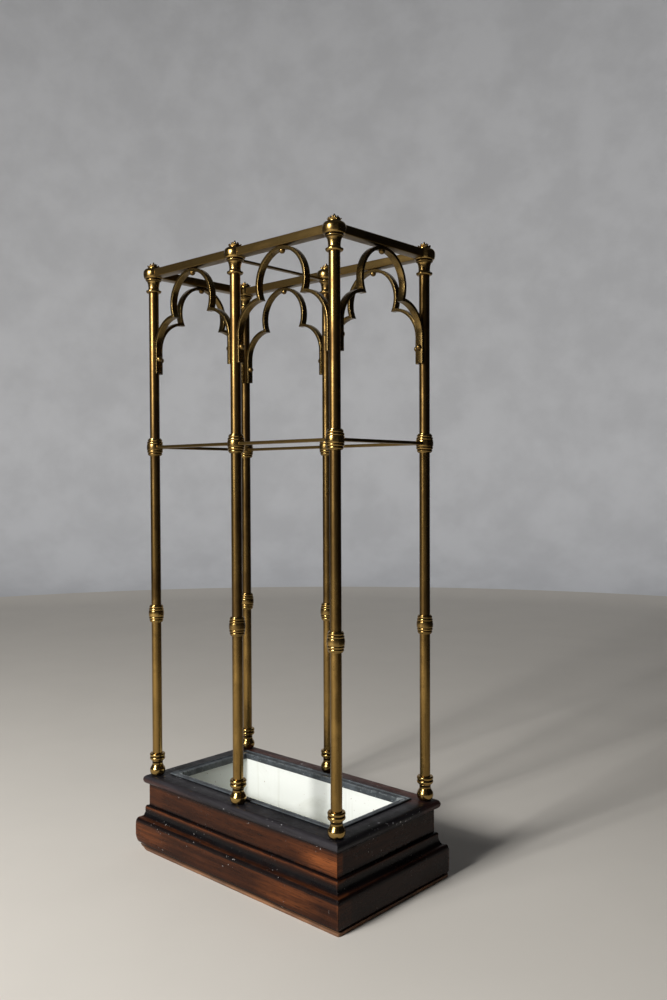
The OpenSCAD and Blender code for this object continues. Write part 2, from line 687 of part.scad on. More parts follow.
bottom_board();
plinth_front();
plinth_back();
plinth_left();
plinth_right();
frieze_long_boards();
frieze_end_boards();
top_frame_front();
top_frame_back();
top_frame_left();
top_frame_right();
glue_blocks();
board_screws();
drip_tray();
tray_rim();
foot_left_front();
foot_middle_front();
foot_right_front();
foot_left_back();
foot_middle_back();
foot_right_back();
shaft_left_front();
shaft_middle_front();
shaft_right_front();
shaft_left_back();
shaft_middle_back();
shaft_right_back();
lower_rings();
mid_collars();
capital_left_front();
capital_middle_front();
capital_right_front();
capital_left_back();
capital_middle_back();
capital_right_back();
crown_nuts();
top_rail_front_left();
top_rail_front_right();
top_rail_back_left();
top_rail_back_right();
top_rail_left_end();
top_rail_right_end();
cross_bar();
mid_rail_front_left();
mid_rail_front_right();
mid_rail_back_left();
mid_rail_back_right();
mid_rail_left_end();
mid_rail_right_end();
arch_front_left();
arch_front_right();
arch_back_left();
arch_back_right();
arch_left_end();
arch_right_end();
arch_foot_screws();
arch_top_screws();
tie_rods();
rod_nuts();
rod_washers();
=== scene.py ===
"""Looks of the stick and umbrella stand: turned brass columns and trefoil arches on a mahogany base.

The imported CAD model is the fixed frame. Each sub-assembly below models its own pieces with
Blender's mesh operators, in millimetres, at the places that the frame gives, and dresses them in
procedural finishes. Pieces are brought to metres when they are finished.
"""

from __future__ import annotations

import json
import logging
import math
from collections.abc import Callable, Iterator, Sequence
from contextlib import contextmanager
from dataclasses import dataclass, field
from enum import Enum

import bmesh
import bpy
import numpy as np
from mathutils import Matrix, Vector, noise

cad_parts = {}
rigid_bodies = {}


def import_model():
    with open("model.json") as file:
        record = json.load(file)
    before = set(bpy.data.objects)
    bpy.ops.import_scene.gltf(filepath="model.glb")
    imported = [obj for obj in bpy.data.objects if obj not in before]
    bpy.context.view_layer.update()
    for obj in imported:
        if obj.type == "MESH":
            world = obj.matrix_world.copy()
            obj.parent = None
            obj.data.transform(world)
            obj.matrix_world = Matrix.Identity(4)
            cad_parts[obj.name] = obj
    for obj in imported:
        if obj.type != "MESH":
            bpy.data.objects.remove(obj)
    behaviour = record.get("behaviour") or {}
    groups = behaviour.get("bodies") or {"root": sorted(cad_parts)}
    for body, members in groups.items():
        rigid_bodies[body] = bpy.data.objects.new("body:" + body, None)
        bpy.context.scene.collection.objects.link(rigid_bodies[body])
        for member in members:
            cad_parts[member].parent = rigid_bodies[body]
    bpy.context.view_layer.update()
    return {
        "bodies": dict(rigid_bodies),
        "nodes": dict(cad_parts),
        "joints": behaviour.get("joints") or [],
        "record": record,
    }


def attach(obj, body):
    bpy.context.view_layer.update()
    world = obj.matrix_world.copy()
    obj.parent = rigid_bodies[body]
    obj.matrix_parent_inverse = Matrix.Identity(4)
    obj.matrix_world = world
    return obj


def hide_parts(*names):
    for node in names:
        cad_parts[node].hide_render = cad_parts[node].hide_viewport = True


LOG = logging.getLogger("stick_stand")
MM = 0.001
X_AXIS, Y_AXIS, Z_AXIS = Vector((1, 0, 0)), Vector((0, 1, 0)), Vector((0, 0, 1))
CLEARANCE = 0.05
ARC_STEPS = 8
SHARP_CORNER = 32.0
SMOOTH_UP_TO = 32.0
TURNED_EASE = 0.22

Point = tuple[float, float]
Colour = tuple[float, float, float]
ByPlace = Callable[[Vector], float]
Piece = bpy.types.Object
Edge = bmesh.types.BMEdge
Socket = bpy.types.NodeSocket
Material = bpy.types.Material


class Body(Enum):
    """Bodies of the frame that pieces ride on."""

    STAND = "stand"
    TRAY = "tray"


class Slot(Enum):
    """Material slots of the record."""

    COLUMN = "column_brass"
    RAIL = "rail_brass"
    SCREW = "screw_brass"
    MAHOGANY = "mahogany"
    EBONISED = "ebonised_wood"
    PINE = "pine"
    IRON = "iron"
    TRAY = "tray_paint"
    RIM = "rim_paint"


class Lay(Enum):
    """Direction in which grain or tool marks run, as the stretch of a pattern on each axis."""

    ALONG_X = (0.05, 1.0, 1.0)
    ALONG_Y = (1.0, 0.05, 1.0)
    UPRIGHT = (1.0, 1.0, 0.05)
    TURNED = (0.05, 0.05, 1.0)
    EVEN = (1.0, 1.0, 1.0)


class Element(Enum):
    """What an edit works on."""

    VERTS = "VERT"
    EDGES = "EDGE"
    FACES = "FACE"


@dataclass(frozen=True)
class Layout:
    """Places that the sub-assemblies share, in millimetres."""

    bay: float = 133.0
    board_t: float = 3.5
    plinth_h: float = 42.5
    frieze_h: float = 23.5
    top_t: float = 10.0
    rail_z: float = 622.3
    collar_z: float = 439.0
    shaft_r: float = 5.3

    @property
    def half_l(self) -> float:
        """Half the length between the outer column lines."""
        return self.bay

    @property
    def half_w(self) -> float:
        """Half the width between the column lines."""
        return self.bay / 2

    @property
    def base_h(self) -> float:
        """Height of the wooden base."""
        return self.board_t + self.plinth_h + self.frieze_h + self.top_t

    def columns(self) -> dict[str, Point]:
        """Name and place of each column."""
        across = {"left": -self.bay, "middle": 0.0, "right": self.bay}
        along = {"front": -self.half_w, "back": self.half_w}
        return {f"{i}_{j}": (x, y) for j, y in along.items() for i, x in across.items()}

    def bays(self) -> dict[str, tuple[float, float, float]]:
        """Name, middle and turning, in degrees, of each bay between two columns."""
        return {
            "front_left": (-self.bay / 2, -self.half_w, 0.0),
            "front_right": (self.bay / 2, -self.half_w, 0.0),
            "back_left": (-self.bay / 2, self.half_w, 0.0),
            "back_right": (self.bay / 2, self.half_w, 0.0),
            "left_end": (-self.half_l, 0.0, 90.0),
            "right_end": (self.half_l, 0.0, 90.0),
        }


# Outlines


def arc(cx: float, cz: float, rx: float, rz: float, start: float, end: float, steps: int = ARC_STEPS) -> list[Point]:
    """Points along an elliptical arc.

    Args:
        cx: First coordinate of the centre.
        cz: Second coordinate of the centre.
        rx: Radius along the first coordinate.
        rz: Radius along the second coordinate.
        start: Angle of the first point, in degrees.
        end: Angle of the last point, in degrees.
        steps: Number of steps between the two.

    Returns:
        The points in order.
    """
    angles = [math.radians(start + (end - start) * s / steps) for s in range(steps + 1)]
    return [(cx + rx * math.cos(a), cz + rz * math.sin(a)) for a in angles]


def bead(radius: float, low: float, high: float, bulge: float) -> list[Point]:
    """Outline of one turned bead.

    Args:
        radius: Radius at the crest of the bead.
        low: Height of its lower edge.
        high: Height of its upper edge.
        bulge: How far the crest stands out from the edges.

    Returns:
        Points from the lower edge to the upper edge.
    """
    return arc(radius - bulge, (low + high) / 2, bulge, (high - low) / 2, -90, 90)


def ogee(r0: float, r1: float, z0: float, z1: float, steps: int = 12) -> list[Point]:
    """Outline of an ogee between two radii.

    Args:
        r0: Radius at the lower end.
        r1: Radius at the upper end.
        z0: Height of the lower end.
        z1: Height of the upper end.
        steps: Number of steps.

    Returns:
        Points from the lower end to the upper end.
    """
    run = [s / steps for s in range(steps + 1)]
    return [(r1 + (r0 - r1) * (1 + math.cos(math.pi * t)) / 2, z0 + (z1 - z0) * t) for t in run]


def eased(outline: Sequence[Point], radius: float, closed: bool = False) -> list[Point]:
    """Rounds the sharp corners of an outline.

    Args:
        outline: The points of the outline.
        radius: Length taken off each side of a sharp corner.
        closed: Whether the last point joins the first.

    Returns:
        The outline with three points at each sharp corner.
    """
    sharp = math.radians(SHARP_CORNER)
    points = [Vector(p) for p in outline]
    result: list[Point] = []
    for i, here in enumerate(points):
        if not closed and i in (0, len(points) - 1):
            result.append(tuple(here))
            continue
        before = points[i - 1] - here
        after = points[(i + 1) % len(points)] - here
        if before.length < 1e-4:
            continue
        if after.length < 1e-4 or math.pi - before.angle(after) < sharp:
            result.append(tuple(here))
            continue
        cut = min(radius, 0.45 * before.length, 0.45 * after.length)
        first, last = here + before.normalized() * cut, here + after.normalized() * cut
        result += [tuple(first), tuple((first + last + here * 2) / 4), tuple(last)]
    return result


def stepped(outline: Sequence[Point], step: float) -> list[Point]:
    """Adds points along the long straight runs of an outline, so that wear can bend them.

    Args:
        outline: The points of the outline.
        step: Longest run that is left whole.

    Returns:
        The outline with its long runs divided.
    """
    result: list[Point] = []
    for first, last in zip(outline, [*outline[1:], outline[0]], strict=True):
        cuts = max(1, math.ceil(math.dist(first, last) / step))
        result += [
            (first[0] + (last[0] - first[0]) * c / cuts, first[1] + (last[1] - first[1]) * c / cuts)
            for c in range(cuts)
        ]
    return result


# Bench work on one mesh


def deselect_all() -> None:
    """Leaves no object selected, the CAD nodes included."""
    for other in bpy.context.view_layer.objects:
        other.select_set(False)


def pick_up(piece: Piece) -> None:
    """Makes a piece the only selected object and the active one."""
    deselect_all()
    piece.select_set(True)
    bpy.context.view_layer.objects.active = piece


@contextmanager
def editing(piece: Piece, element: Element = Element.FACES) -> Iterator[None]:
    """Edit mode on one piece with everything in it selected.

    Args:
        piece: The piece to edit.
        element: The kind of element that selections hold.
    """
    pick_up(piece)
    bpy.ops.object.mode_set(mode="EDIT")
    bpy.ops.mesh.select_mode(type=element.value)
    bpy.ops.mesh.select_all(action="SELECT")
    try:
        yield
    finally:
        bpy.ops.object.mode_set(mode="OBJECT")


def choose(piece: Piece, element: Element, test: Callable[[object], bool]) -> int:
    """Selects the elements of the piece in edit mode that pass a test.

    Args:
        piece: The piece in edit mode.
        element: Whether vertices, edges or faces are tested.
        test: Takes a bmesh element and says whether to select it.

    Returns:
        The number of elements selected.
    """
    mesh = bmesh.from_edit_mesh(piece.data)
    bpy.ops.mesh.select_mode(type=element.value)
    bpy.ops.mesh.select_all(action="DESELECT")
    group = {Element.VERTS: mesh.verts, Element.EDGES: mesh.edges, Element.FACES: mesh.faces}[element]
    found = 0
    for item in group:
        if test(item):
            item.select_set(True)
            found += 1
    mesh.select_flush_mode()
    bmesh.update_edit_mesh(piece.data)
    return found


def start_outline(name: str, places: Sequence[Vector], filled: bool) -> Piece:
    """Adds a circle and moves its vertices to the corners of an outline.

    Args:
        name: Name of the new piece.
        places: Place of each corner.
        filled: Whether the outline holds a face.

    Returns:
        The new piece.
    """
    deselect_all()
    bpy.ops.mesh.primitive_circle_add(
        vertices=len(places), radius=10, fill_type="NGON" if filled else "NOTHING"
    )
    piece = bpy.context.active_object
    piece.name = piece.data.name = name
    for corner, place in zip(piece.data.vertices, places, strict=True):
        corner.co = place
    return piece


def block(length: float, depth: float, low: float, high: float) -> Piece:
    """Cuts a block that is centred over the origin.

    Args:
        length: Length along X.
        depth: Depth along Y.
        low: Height of its lower face.
        high: Height of its upper face.

    Returns:
        The new piece.
    """
    deselect_all()
    bpy.ops.mesh.primitive_cube_add(size=2)
    piece = bpy.context.active_object
    for corner in piece.data.vertices:
        x, y, z = corner.co
        corner.co = (x * length / 2, y * depth / 2, high if z > 0 else low)
    return piece


def modify(piece: Piece, kind: str, **settings: object) -> None:
    """Gives a piece a modifier and applies it.

    Args:
        piece: The piece to change.
        kind: Type of the modifier.
        settings: Properties of the modifier.
    """
    pick_up(piece)
    modifier = piece.modifiers.new("work", kind)
    for key, value in settings.items():
        setattr(modifier, key, value)
    bpy.ops.object.modifier_apply(modifier=modifier.name)


def runs_along(direction: Vector, over: float) -> Callable[[Edge], bool]:
    """Test for edges that run in one direction.

    Args:
        direction: Direction of the edges.
        over: Length that they pass, in millimetres.

    Returns:
        The test, for choose.
    """

    def test(edge: Edge) -> bool:
        run = edge.verts[1].co - edge.verts[0].co
        return run.length > over and abs(run.normalized().dot(direction)) > 0.98

    return test


def weld(piece: Piece, distance: float = 0.004) -> None:
    """Merges the doubles of a piece and turns its faces outwards.

    Args:
        piece: The piece to weld.
        distance: Largest distance merged, in millimetres.
    """
    with editing(piece):
        bpy.ops.mesh.remove_doubles(threshold=distance)
        bpy.ops.mesh.dissolve_degenerate(threshold=distance / 2)
        bpy.ops.mesh.select_all(action="SELECT")
        bpy.ops.mesh.normals_make_consistent(inside=False)


def turn(name: str, outline: Sequence[Point], bore: float, steps: int = 56) -> Piece:
    """Turns a piece about the upright axis.

    Args:
        name: Name of the new piece.
        outline: Radius and height of each point, from the bottom up.
        bore: Radius of the hole through it, or 0.
        steps: Number of steps round.

    Returns:
        The turned piece, standing on the origin.
    """
    section = eased([*outline, (bore, outline[-1][1]), (bore, outline[0][1])], TURNED_EASE, closed=True)
    piece = start_outline(name, [Vector((r, 0, z)) for r, z in section], filled=False)
    with editing(piece, Element.EDGES):
        bpy.ops.mesh.spin(steps=steps, angle=math.tau, center=(0, 0, 0), axis=Z_AXIS)
    weld(piece)
    return piece


def cut_off(piece: Piece, point: Vector, normal: Vector, cap: bool) -> None:
    """Saws off what lies beyond a plane.

    Args:
        piece: The piece to saw.
        point: A point of the plane.
        normal: Direction of the side that is taken off.
        cap: Whether the cut is closed with a face.
    """
    with editing(piece):
        bpy.ops.mesh.bisect(
            plane_co=point, plane_no=normal, use_fill=cap, clear_outer=True, threshold=0.0005
        )


def mitred_run(
    name: str, section: Sequence[Point], side: float, run: float, gap: float, cap: bool = True
) -> Piece:
    """Runs a section along the side at -Y of a frame and saws its two mitres.

    Args:
        name: Name of the new piece.
        section: Reach beyond the side and height of each corner of the section.
        side: Distance of the side from the middle.
        run: Half the length of the side.
        gap: Length taken off at each mitre.
        cap: Whether the sawn ends are closed.

    Returns:
        The sawn piece.
    """
    end = run + max(reach for reach, _ in section)
    corners = [Vector((-end, -side - reach, height)) for reach, height in section]
    piece = start_outline(name, corners, filled=cap)
    with editing(piece, Element.FACES if cap else Element.EDGES):
        bpy.ops.mesh.extrude_region_move(TRANSFORM_OT_translate={"value": (2 * end, 0, 0)})
    weld(piece)
    for way in (-1, 1):
        cut_off(piece, Vector((way * (run - gap), -side, 0)), Vector((way, 1, 0)).normalized(), cap)
    return piece


def bevel_sharp(piece: Piece, width: float, segments: int, limit: float) -> None:
    """Rounds the sharp arrises of a piece.

    Args:
        piece: The piece to bevel.
        width: Width of the bevel in millimetres.
        segments: Number of segments.
        limit: Smallest angle, in degrees, that is bevelled.
    """
    modify(
        piece, "BEVEL", width=width, segments=segments, limit_method="ANGLE", angle_limit=math.radians(limit),
        miter_outer="MITER_ARC",
    )


def divide_long(piece: Piece, direction: Vector, over: float, cuts: int) -> None:
    """Divides the long edges that run in one direction, so that wear can bend them.

    Args:
        piece: The piece to divide.
        direction: Direction of the edges.
        over: Shortest length, in millimetres, that is divided.
        cuts: Number of cuts in each edge.
    """
    with editing(piece, Element.EDGES):
        if choose(piece, Element.EDGES, runs_along(direction, over)):
            bpy.ops.mesh.subdivide(number_cuts=cuts)


def copy_piece(source: Piece, name: str, place: Matrix) -> Piece:
    """Copies a piece with a mesh of its own.

    Args:
        source: The piece to copy.
        name: Name of the copy.
        place: Where the copy goes, from where the source is.

    Returns:
        The copy.
    """
    piece = bpy.data.objects.new(name, source.data.copy())
    piece.data.name = name
    bpy.context.scene.collection.objects.link(piece)
    piece.data.transform(place)
    return piece


def join(pieces: Sequence[Piece], name: str) -> Piece:
    """Joins pieces into one.

    Args:
        pieces: The pieces to join.
        name: Name of the result.

    Returns:
        The joined piece.
    """
    deselect_all()
    for piece in pieces:
        piece.select_set(True)
    bpy.context.view_layer.objects.active = pieces[0]
    bpy.ops.object.join()
    pieces[0].name = pieces[0].data.name = name
    return pieces[0]


def discard(*pieces: Piece) -> None:
    """Removes pieces that were only patterns or tools."""
    for piece in pieces:
        bpy.data.objects.remove(piece)


def four_sides(long: Piece, short: Piece, names: Sequence[str]) -> list[Piece]:
    """Copies two patterns round a frame and discards them.

    Args:
        long: Pattern of the sides at -Y and +Y.
        short: Pattern of the other two, modelled at -Y.
        names: Names of the copies at the front, right, back and left.

    Returns:
        The four copies, in that order.
    """
    pieces = [copy_piece(short if i % 2 else long, name, turned_by(90.0 * i)) for i, name in enumerate(names)]
    discard(long, short)
    return pieces


def turned_by(degrees: float, x: float = 0, y: float = 0, z: float = 0) -> Matrix:
    """Place that is turned about the upright axis and then moved."""
    return Matrix.Translation((x, y, z)) @ Matrix.Rotation(math.radians(degrees), 4, "Z")


# Wear


def write_level(piece: Piece, name: str, values: np.ndarray) -> None:
    """Stores one number for each vertex, which the finishes read.

    Args:
        piece: The piece that gets the numbers.
        name: Name of the attribute.
        values: One value for each vertex.
    """
    layer = piece.data.attributes.get(name) or piece.data.attributes.new(name, "FLOAT", "POINT")
    layer.data.foreach_set("value", values.astype(np.float32))


def write_relief(piece: Piece, reach: float = 0.9) -> np.ndarray:
    """Finds how far each vertex stands proud, from -1 in a groove to 1 on an arris.

    Args:
        piece: A piece in millimetres.
        reach: Radius in millimetres of an arris that counts as sharp.

    Returns:
        The relief of each vertex.
    """
    mesh = piece.data
    count = len(mesh.vertices)
    places, normals = np.empty(count * 3, np.float32), np.empty(count * 3, np.float32)
    mesh.vertices.foreach_get("co", places)
    mesh.vertices.foreach_get("normal", normals)
    places, normals = places.reshape(-1, 3), normals.reshape(-1, 3)
    ends = np.empty(len(mesh.edges) * 2, np.int32)
    mesh.edges.foreach_get("vertices", ends)
    ends = ends.reshape(-1, 2)
    run = places[ends[:, 1]] - places[ends[:, 0]]
    change = normals[ends[:, 1]] - normals[ends[:, 0]]
    bend = (run * change).sum(1) / np.maximum((run * run).sum(1), 1e-6)
    proud, sunk = np.zeros(count), np.zeros(count)
    for side in (0, 1):
        np.maximum.at(proud, ends[:, side], bend)
        np.minimum.at(sunk, ends[:, side], bend)
    relief = np.tanh(np.where(proud > -sunk, proud, sunk) * reach)
    write_level(piece, "relief", relief)
    return relief


def weather(piece: Piece, wave: float, chip: float, seed: float) -> None:
    """Gives an old piece its slight waves and the chips along its arrises.

    Args:
        piece: A piece in millimetres.
        wave: Depth of the slow waves of its faces, which only go inwards.
        chip: Depth of the deepest chips.
        seed: Moves the pattern, so that copies differ.
    """
    wave_length, chip_length, crumb_length = 38, 5.5, 2.4
    relief = write_relief(piece)
    shift = Vector((seed * 31.7, seed * 17.3, seed * 5.9))
    for vertex, proud in zip(piece.data.vertices, relief, strict=True):
        normal = vertex.normal.copy()
        slow = noise.noise((vertex.co + shift) / wave_length)
        crumbs = noise.noise((vertex.co - shift) / crumb_length)
        quick = noise.noise((vertex.co + shift) / chip_length) + 0.5 * crumbs
        chipped = max(0.0, quick - 0.28) * max(0.0, proud - 0.2)
        vertex.co += normal * (wave * (slow - 1) / 2 - chip * min(1.0, 2.2 * chipped))


def write_by_place(piece: Piece, name: str, value: ByPlace) -> None:
    """Stores a number that depends on the place of each vertex.

    Args:
        piece: A piece in millimetres.
        name: Name of the attribute, such as soil or rubbed.
        value: Takes a place in millimetres and gives the number, from 0 to 1.
    """
    write_level(piece, name, np.array([value(v.co) for v in piece.data.vertices], float))


def band(value: float, middle: float, width: float) -> float:
    """Height of a soft band, 1 at its middle and 0 beyond its width."""
    return max(0.0, 1 - ((value - middle) / width) ** 2)


def ramp(value: float, low: float, high: float) -> float:
    """Soft step from 0 at low to 1 at high."""
    t = min(1.0, max(0.0, (value - low) / (high - low)))
    return t * t * (3 - 2 * t)


# Finishes


class Wiring:
    """Node tree of one finish, wired by short calls."""

    def __init__(self, name: str) -> None:
        """Starts a material with one Principled shader.

        Args:
            name: Name of the material.
        """
        self.material = bpy.data.materials.new(name)
        self.material.use_nodes = True
        self.tree = self.material.node_tree
        self.tree.nodes.clear()
        self.shader = self.add("ShaderNodeBsdfPrincipled")
        output = self.add("ShaderNodeOutputMaterial")
        self.tree.links.new(self.shader.outputs[0], output.inputs["Surface"])
        self.place = self.add("ShaderNodeTexCoord").outputs["Object"]

    def height(self) -> Socket:
        """Height above the floor, in metres."""
        return self.add("ShaderNodeSeparateXYZ", inputs={0: self.place}).outputs["Z"]

    def add(self, kind: str, settings: dict | None = None, inputs: dict | None = None) -> bpy.types.Node:
        """Adds a node.

        Args:
            kind: Type of the node.
            settings: Properties of the node.
            inputs: Value or socket for each input, by name or number.

        Returns:
            The node.
        """
        node = self.tree.nodes.new(kind)
        for key, value in (settings or {}).items():
            setattr(node, key, value)
        for key, value in (inputs or {}).items():
            self.feed(node.inputs[key], value)
        return node

    def feed(self, socket: Socket, value: object) -> None:
        """Links a socket to another, or sets its own value."""
        if isinstance(value, Socket):
            self.tree.links.new(value, socket)
        elif isinstance(value, tuple) and len(value) == 3 and socket.type == "RGBA":
            socket.default_value = (*value, 1.0)
        else:
            socket.default_value = value

    def grain(
        self, scale: float, lay: Lay = Lay.EVEN, detail: float = 3, rough: float = 0.55, twist: float = 0,
        seed: float = 0,
    ) -> Socket:
        """Noise that runs with the grain.

        Args:
            scale: Number of features in a metre, across the grain.
            lay: Direction of the grain.
            detail: Number of octaves.
            rough: Strength of the finer octaves.
            twist: Distortion.
            seed: Shift of the pattern in metres.

        Returns:
            Its factor, from 0 to 1.
        """
        mapping = self.add(
            "ShaderNodeMapping", inputs={"Vector": self.place, "Scale": lay.value, "Location": (seed, seed, seed)}
        )
        fields = {"Vector": mapping.outputs[0], "Scale": scale, "Detail": detail, "Roughness": rough}
        return self.add("ShaderNodeTexNoise", inputs={**fields, "Distortion": twist}).outputs["Fac"]

    def level(
        self, value: object, low: float, high: float, start: float = 0, end: float = 1
    ) -> Socket:
        """Brings a range of values to another, with soft ends.

        Args:
            value: The socket to read.
            low: Value that gives start.
            high: Value that gives end.
            start: Result at and below low.
            end: Result at and above high.

        Returns:
            The result.
        """
        fields = {"Value": value, "From Min": low, "From Max": high, "To Min": start, "To Max": end}
        node = self.add("ShaderNodeMapRange", {"interpolation_type": "SMOOTHSTEP"}, fields)
        return node.outputs["Result"]

    def sum(self, operation: str, first: object, second: object) -> Socket:
        """Clamped result of one operation on two values."""
        return self.add("ShaderNodeMath", {"operation": operation, "use_clamp": True}, {0: first, 1: second}).outputs[0]

    def plus(self, first: object, second: object) -> Socket:
        """Clamped sum of two values."""
        return self.sum("ADD", first, second)

    def less(self, first: object, second: object) -> Socket:
        """Clamped difference of two values."""
        return self.sum("SUBTRACT", first, second)

    def times(self, first: object, second: object) -> Socket:
        """Clamped product of two values."""
        return self.sum("MULTIPLY", first, second)

    def mix(self, factor: object, first: object, second: object) -> Socket:
        """Mixes two colours.

        Args:
            factor: How much of the second.
            first: Colour or socket.
            second: Colour or socket.

        Returns:
            The mixed colour.
        """
        node = self.add("ShaderNodeMix", {"data_type": "RGBA"})
        self.feed(node.inputs[0], factor)
        self.feed(node.inputs[6], first)
        self.feed(node.inputs[7], second)
        return node.outputs[2]

    def read(self, name: str) -> Socket:
        """Value of an attribute of the piece."""
        return self.add("ShaderNodeAttribute", {"attribute_name": name}).outputs["Fac"]

    def bump(self, height: object, distance: float, strength: float, normal: object = None) -> Socket:
        """Raises a surface a little.

        Args:
            height: The height to follow.
            distance: Its full height in metres.
            strength: How much of it shows.
            normal: A bump below this one.

        Returns:
            The bumped normal.
        """
        fields = {"Height": height, "Distance": distance, "Strength": strength}
        if normal is not None:
            fields["Normal"] = normal
        return self.add("ShaderNodeBump", inputs=fields).outputs["Normal"]

    def finish(self, **inputs: object) -> Material:
        """Feeds the shader, an underscore standing for a space, and returns the material."""
        for name, value in inputs.items():
            self.feed(self.shader.inputs[name.replace("_", " ")], value)
        return self.material


@dataclass(frozen=True)
class Finish:
    """A procedural finish: its name, the direction it runs in and how its nodes are wired."""

    name: str
    lay: Lay = Lay.EVEN

    def material(self) -> Material:
        """Builds the material."""
        raise NotImplementedError


@dataclass(frozen=True)
class AgedBrass(Finish):
    """Old lacquered brass: bright where hands rub it, brown elsewhere, black in its grooves from painted shade and
    grime, and lighter towards the bottom of the columns as a painted highlight.
    """

    bright: Colour = (0.34, 0.215, 0.062)
    patina: Colour = (0.100, 0.053, 0.016)
    grime_and_shade: Colour = (0.006, 0.004, 0.003)
    shine: float = 0.25
    dull: float = 0.40
    tarnish: float = 0.0
    # The next three fields paint a highlight: less patina, so lighter brass, towards the bottom of the columns.
    low_painted_highlight: float = 0.0
    highlight_fade_from: float = 0.30
    highlight_full_at: float = 0.16

    def material(self) -> Material:
        """Builds the material."""
        w = Wiring(self.name)
        patches = w.level(w.grain(26, detail=6, rough=0.62), 0.34 - self.tarnish, 0.68 - self.tarnish)
        streaks = w.level(w.grain(330, self.lay, detail=5, rough=0.6, seed=1.7), 0.40, 0.68)
        spots = w.level(w.grain(620, detail=3, seed=4.1), 0.60, 0.70)
        relief = w.read("relief")
        proud = w.level(relief, 0.35, 0.95)
        sunk = w.level(relief, -0.10, -0.60)
        dark = w.plus(w.times(patches, 0.70), w.times(streaks, 0.32))
        dark = w.plus(dark, w.times(spots, 0.25))
        dark = w.less(dark, w.times(proud, 0.55))
        dark = w.less(dark, w.times(w.read("wear_and_highlight"), 0.6))
        # Painted highlight: the brass gets lighter towards the bottom of the columns.
        dark = w.less(dark, w.level(w.height(), self.highlight_fade_from, self.highlight_full_at, 0.0, self.low_painted_highlight))
        colour = w.mix(dark, self.bright, self.patina)
        # Painted shade with grime: hollows and grooves, read from the relief, turn near black.
        shade_and_dirt_mask = w.plus(w.times(sunk, 0.96), w.read("shade_and_soil"))
        colour = w.mix(shade_and_dirt_mask, colour, self.grime_and_shade)
        rough = w.level(dark, 0.0, 1.0, self.shine, self.dull)
        rough = w.plus(rough, w.times(shade_and_dirt_mask, 0.25))
        normal = w.bump(w.grain(2600, self.lay, detail=2, rough=0.7, seed=2.3), 0.00006, 0.35)
        normal = w.bump(w.grain(900, detail=4, rough=0.7, seed=7.7), 0.00010, 0.20, normal)
        normal = w.bump(w.grain(70, self.lay, detail=3, seed=6.1), 0.00035, 0.30, normal)
        return w.finish(Base_Color=colour, Metallic=1.0, Roughness=rough, Normal=normal)


@dataclass(frozen=True)
class PolishedWood(Finish):
    """French-polished hardwood: figured along its grain, black in its hollows from painted shade and grime, worn on its
    arrises, with painted highlights where the boards mark them.
    """

    dark: Colour = (0.0036, 0.0018, 0.0016)
    mid: Colour = (0.0130, 0.0042, 0.0026)
    light: Colour = (0.044, 0.0145, 0.0066)
    bare: Colour = (0.200, 0.058, 0.016)
    shade_and_soil: Colour = (0.0035, 0.0035, 0.0042)
    fleck: Colour = (0.46, 0.43, 0.42)
    wear: float = 0.5
    gloss: float = 0.22

    def material(self) -> Material:
        """Builds the material."""
        w = Wiring(self.name)
        figure = w.grain(85, self.lay, detail=9, rough=0.68, twist=0.5)
        cloud = w.grain(11, detail=3, seed=3.1)
        tone = w.plus(w.times(figure, 0.75), w.times(cloud, 0.25))
        colour = w.mix(w.level(tone, 0.38, 0.53), self.dark, self.mid)
        colour = w.mix(w.level(tone, 0.53, 0.72), colour, self.light)
        relief = w.read("relief")
        patchy = w.level(w.grain(95, detail=6, rough=0.7, seed=8.2), 0.62 - 0.3 * self.wear, 0.80 - 0.25 * self.wear)
        arris = w.times(w.level(relief, 0.15, 0.85), w.times(patchy, 0.45))
        streaky = w.level(w.grain(150, self.lay, detail=7, rough=0.72, seed=2.7), 0.34, 0.66, 0.25, 1.35)
        wear_and_highlight = w.plus(w.times(w.read("wear_and_highlight"), streaky), arris)
        # The bare colour also paints highlights and a lighter front where the board's attribute marks them.
        colour = w.mix(w.times(wear_and_highlight, 0.9), colour, self.bare)
        pores = w.level(w.grain(1300, self.lay, detail=2, seed=5.3), 0.58, 0.66)
        colour = w.mix(w.times(pores, 0.7), colour, self.dark)
        # Painted shade with grime: the hollows from the relief and the places that the board's attribute marks go near
        # black.
        shade_and_dirt_mask = w.plus(w.read("shade_and_soil"), w.level(relief, -0.10, -0.75))
        shade_and_dirt_mask = w.times(shade_and_dirt_mask, w.level(w.grain(60, detail=5, seed=2.9), 0.22, 0.55, 0.6, 1.0))
        colour = w.mix(w.times(shade_and_dirt_mask, 0.97), colour, self.shade_and_soil)
        nicks = w.level(w.grain(340, detail=3, rough=0.55, seed=6.6), 0.672, 0.705)
        nicks = w.times(nicks, w.level(w.grain(30, detail=2, seed=7.7), 0.52, 0.62, 0.0, 0.8))
        colour = w.mix(w.times(nicks, 0.8), colour, self.fleck)
        rough = w.level(w.grain(48, detail=5, seed=9.4), 0.3, 0.7, self.gloss, self.gloss + 0.12)
        rough = w.plus(rough, w.times(wear_and_highlight, 0.10))
        normal = w.bump(w.grain(420, self.lay, detail=5, seed=1.2), 0.00016, 0.35)
        normal = w.bump(w.grain(140, detail=5, rough=0.65, seed=7.1), 0.0006, 0.22, normal)
        return w.finish(
            Base_Color=colour, Metallic=0.0, Roughness=rough, Normal=normal, Specular_IOR_Level=0.12,
            Coat_Weight=0.02, Coat_Roughness=0.12,
        )


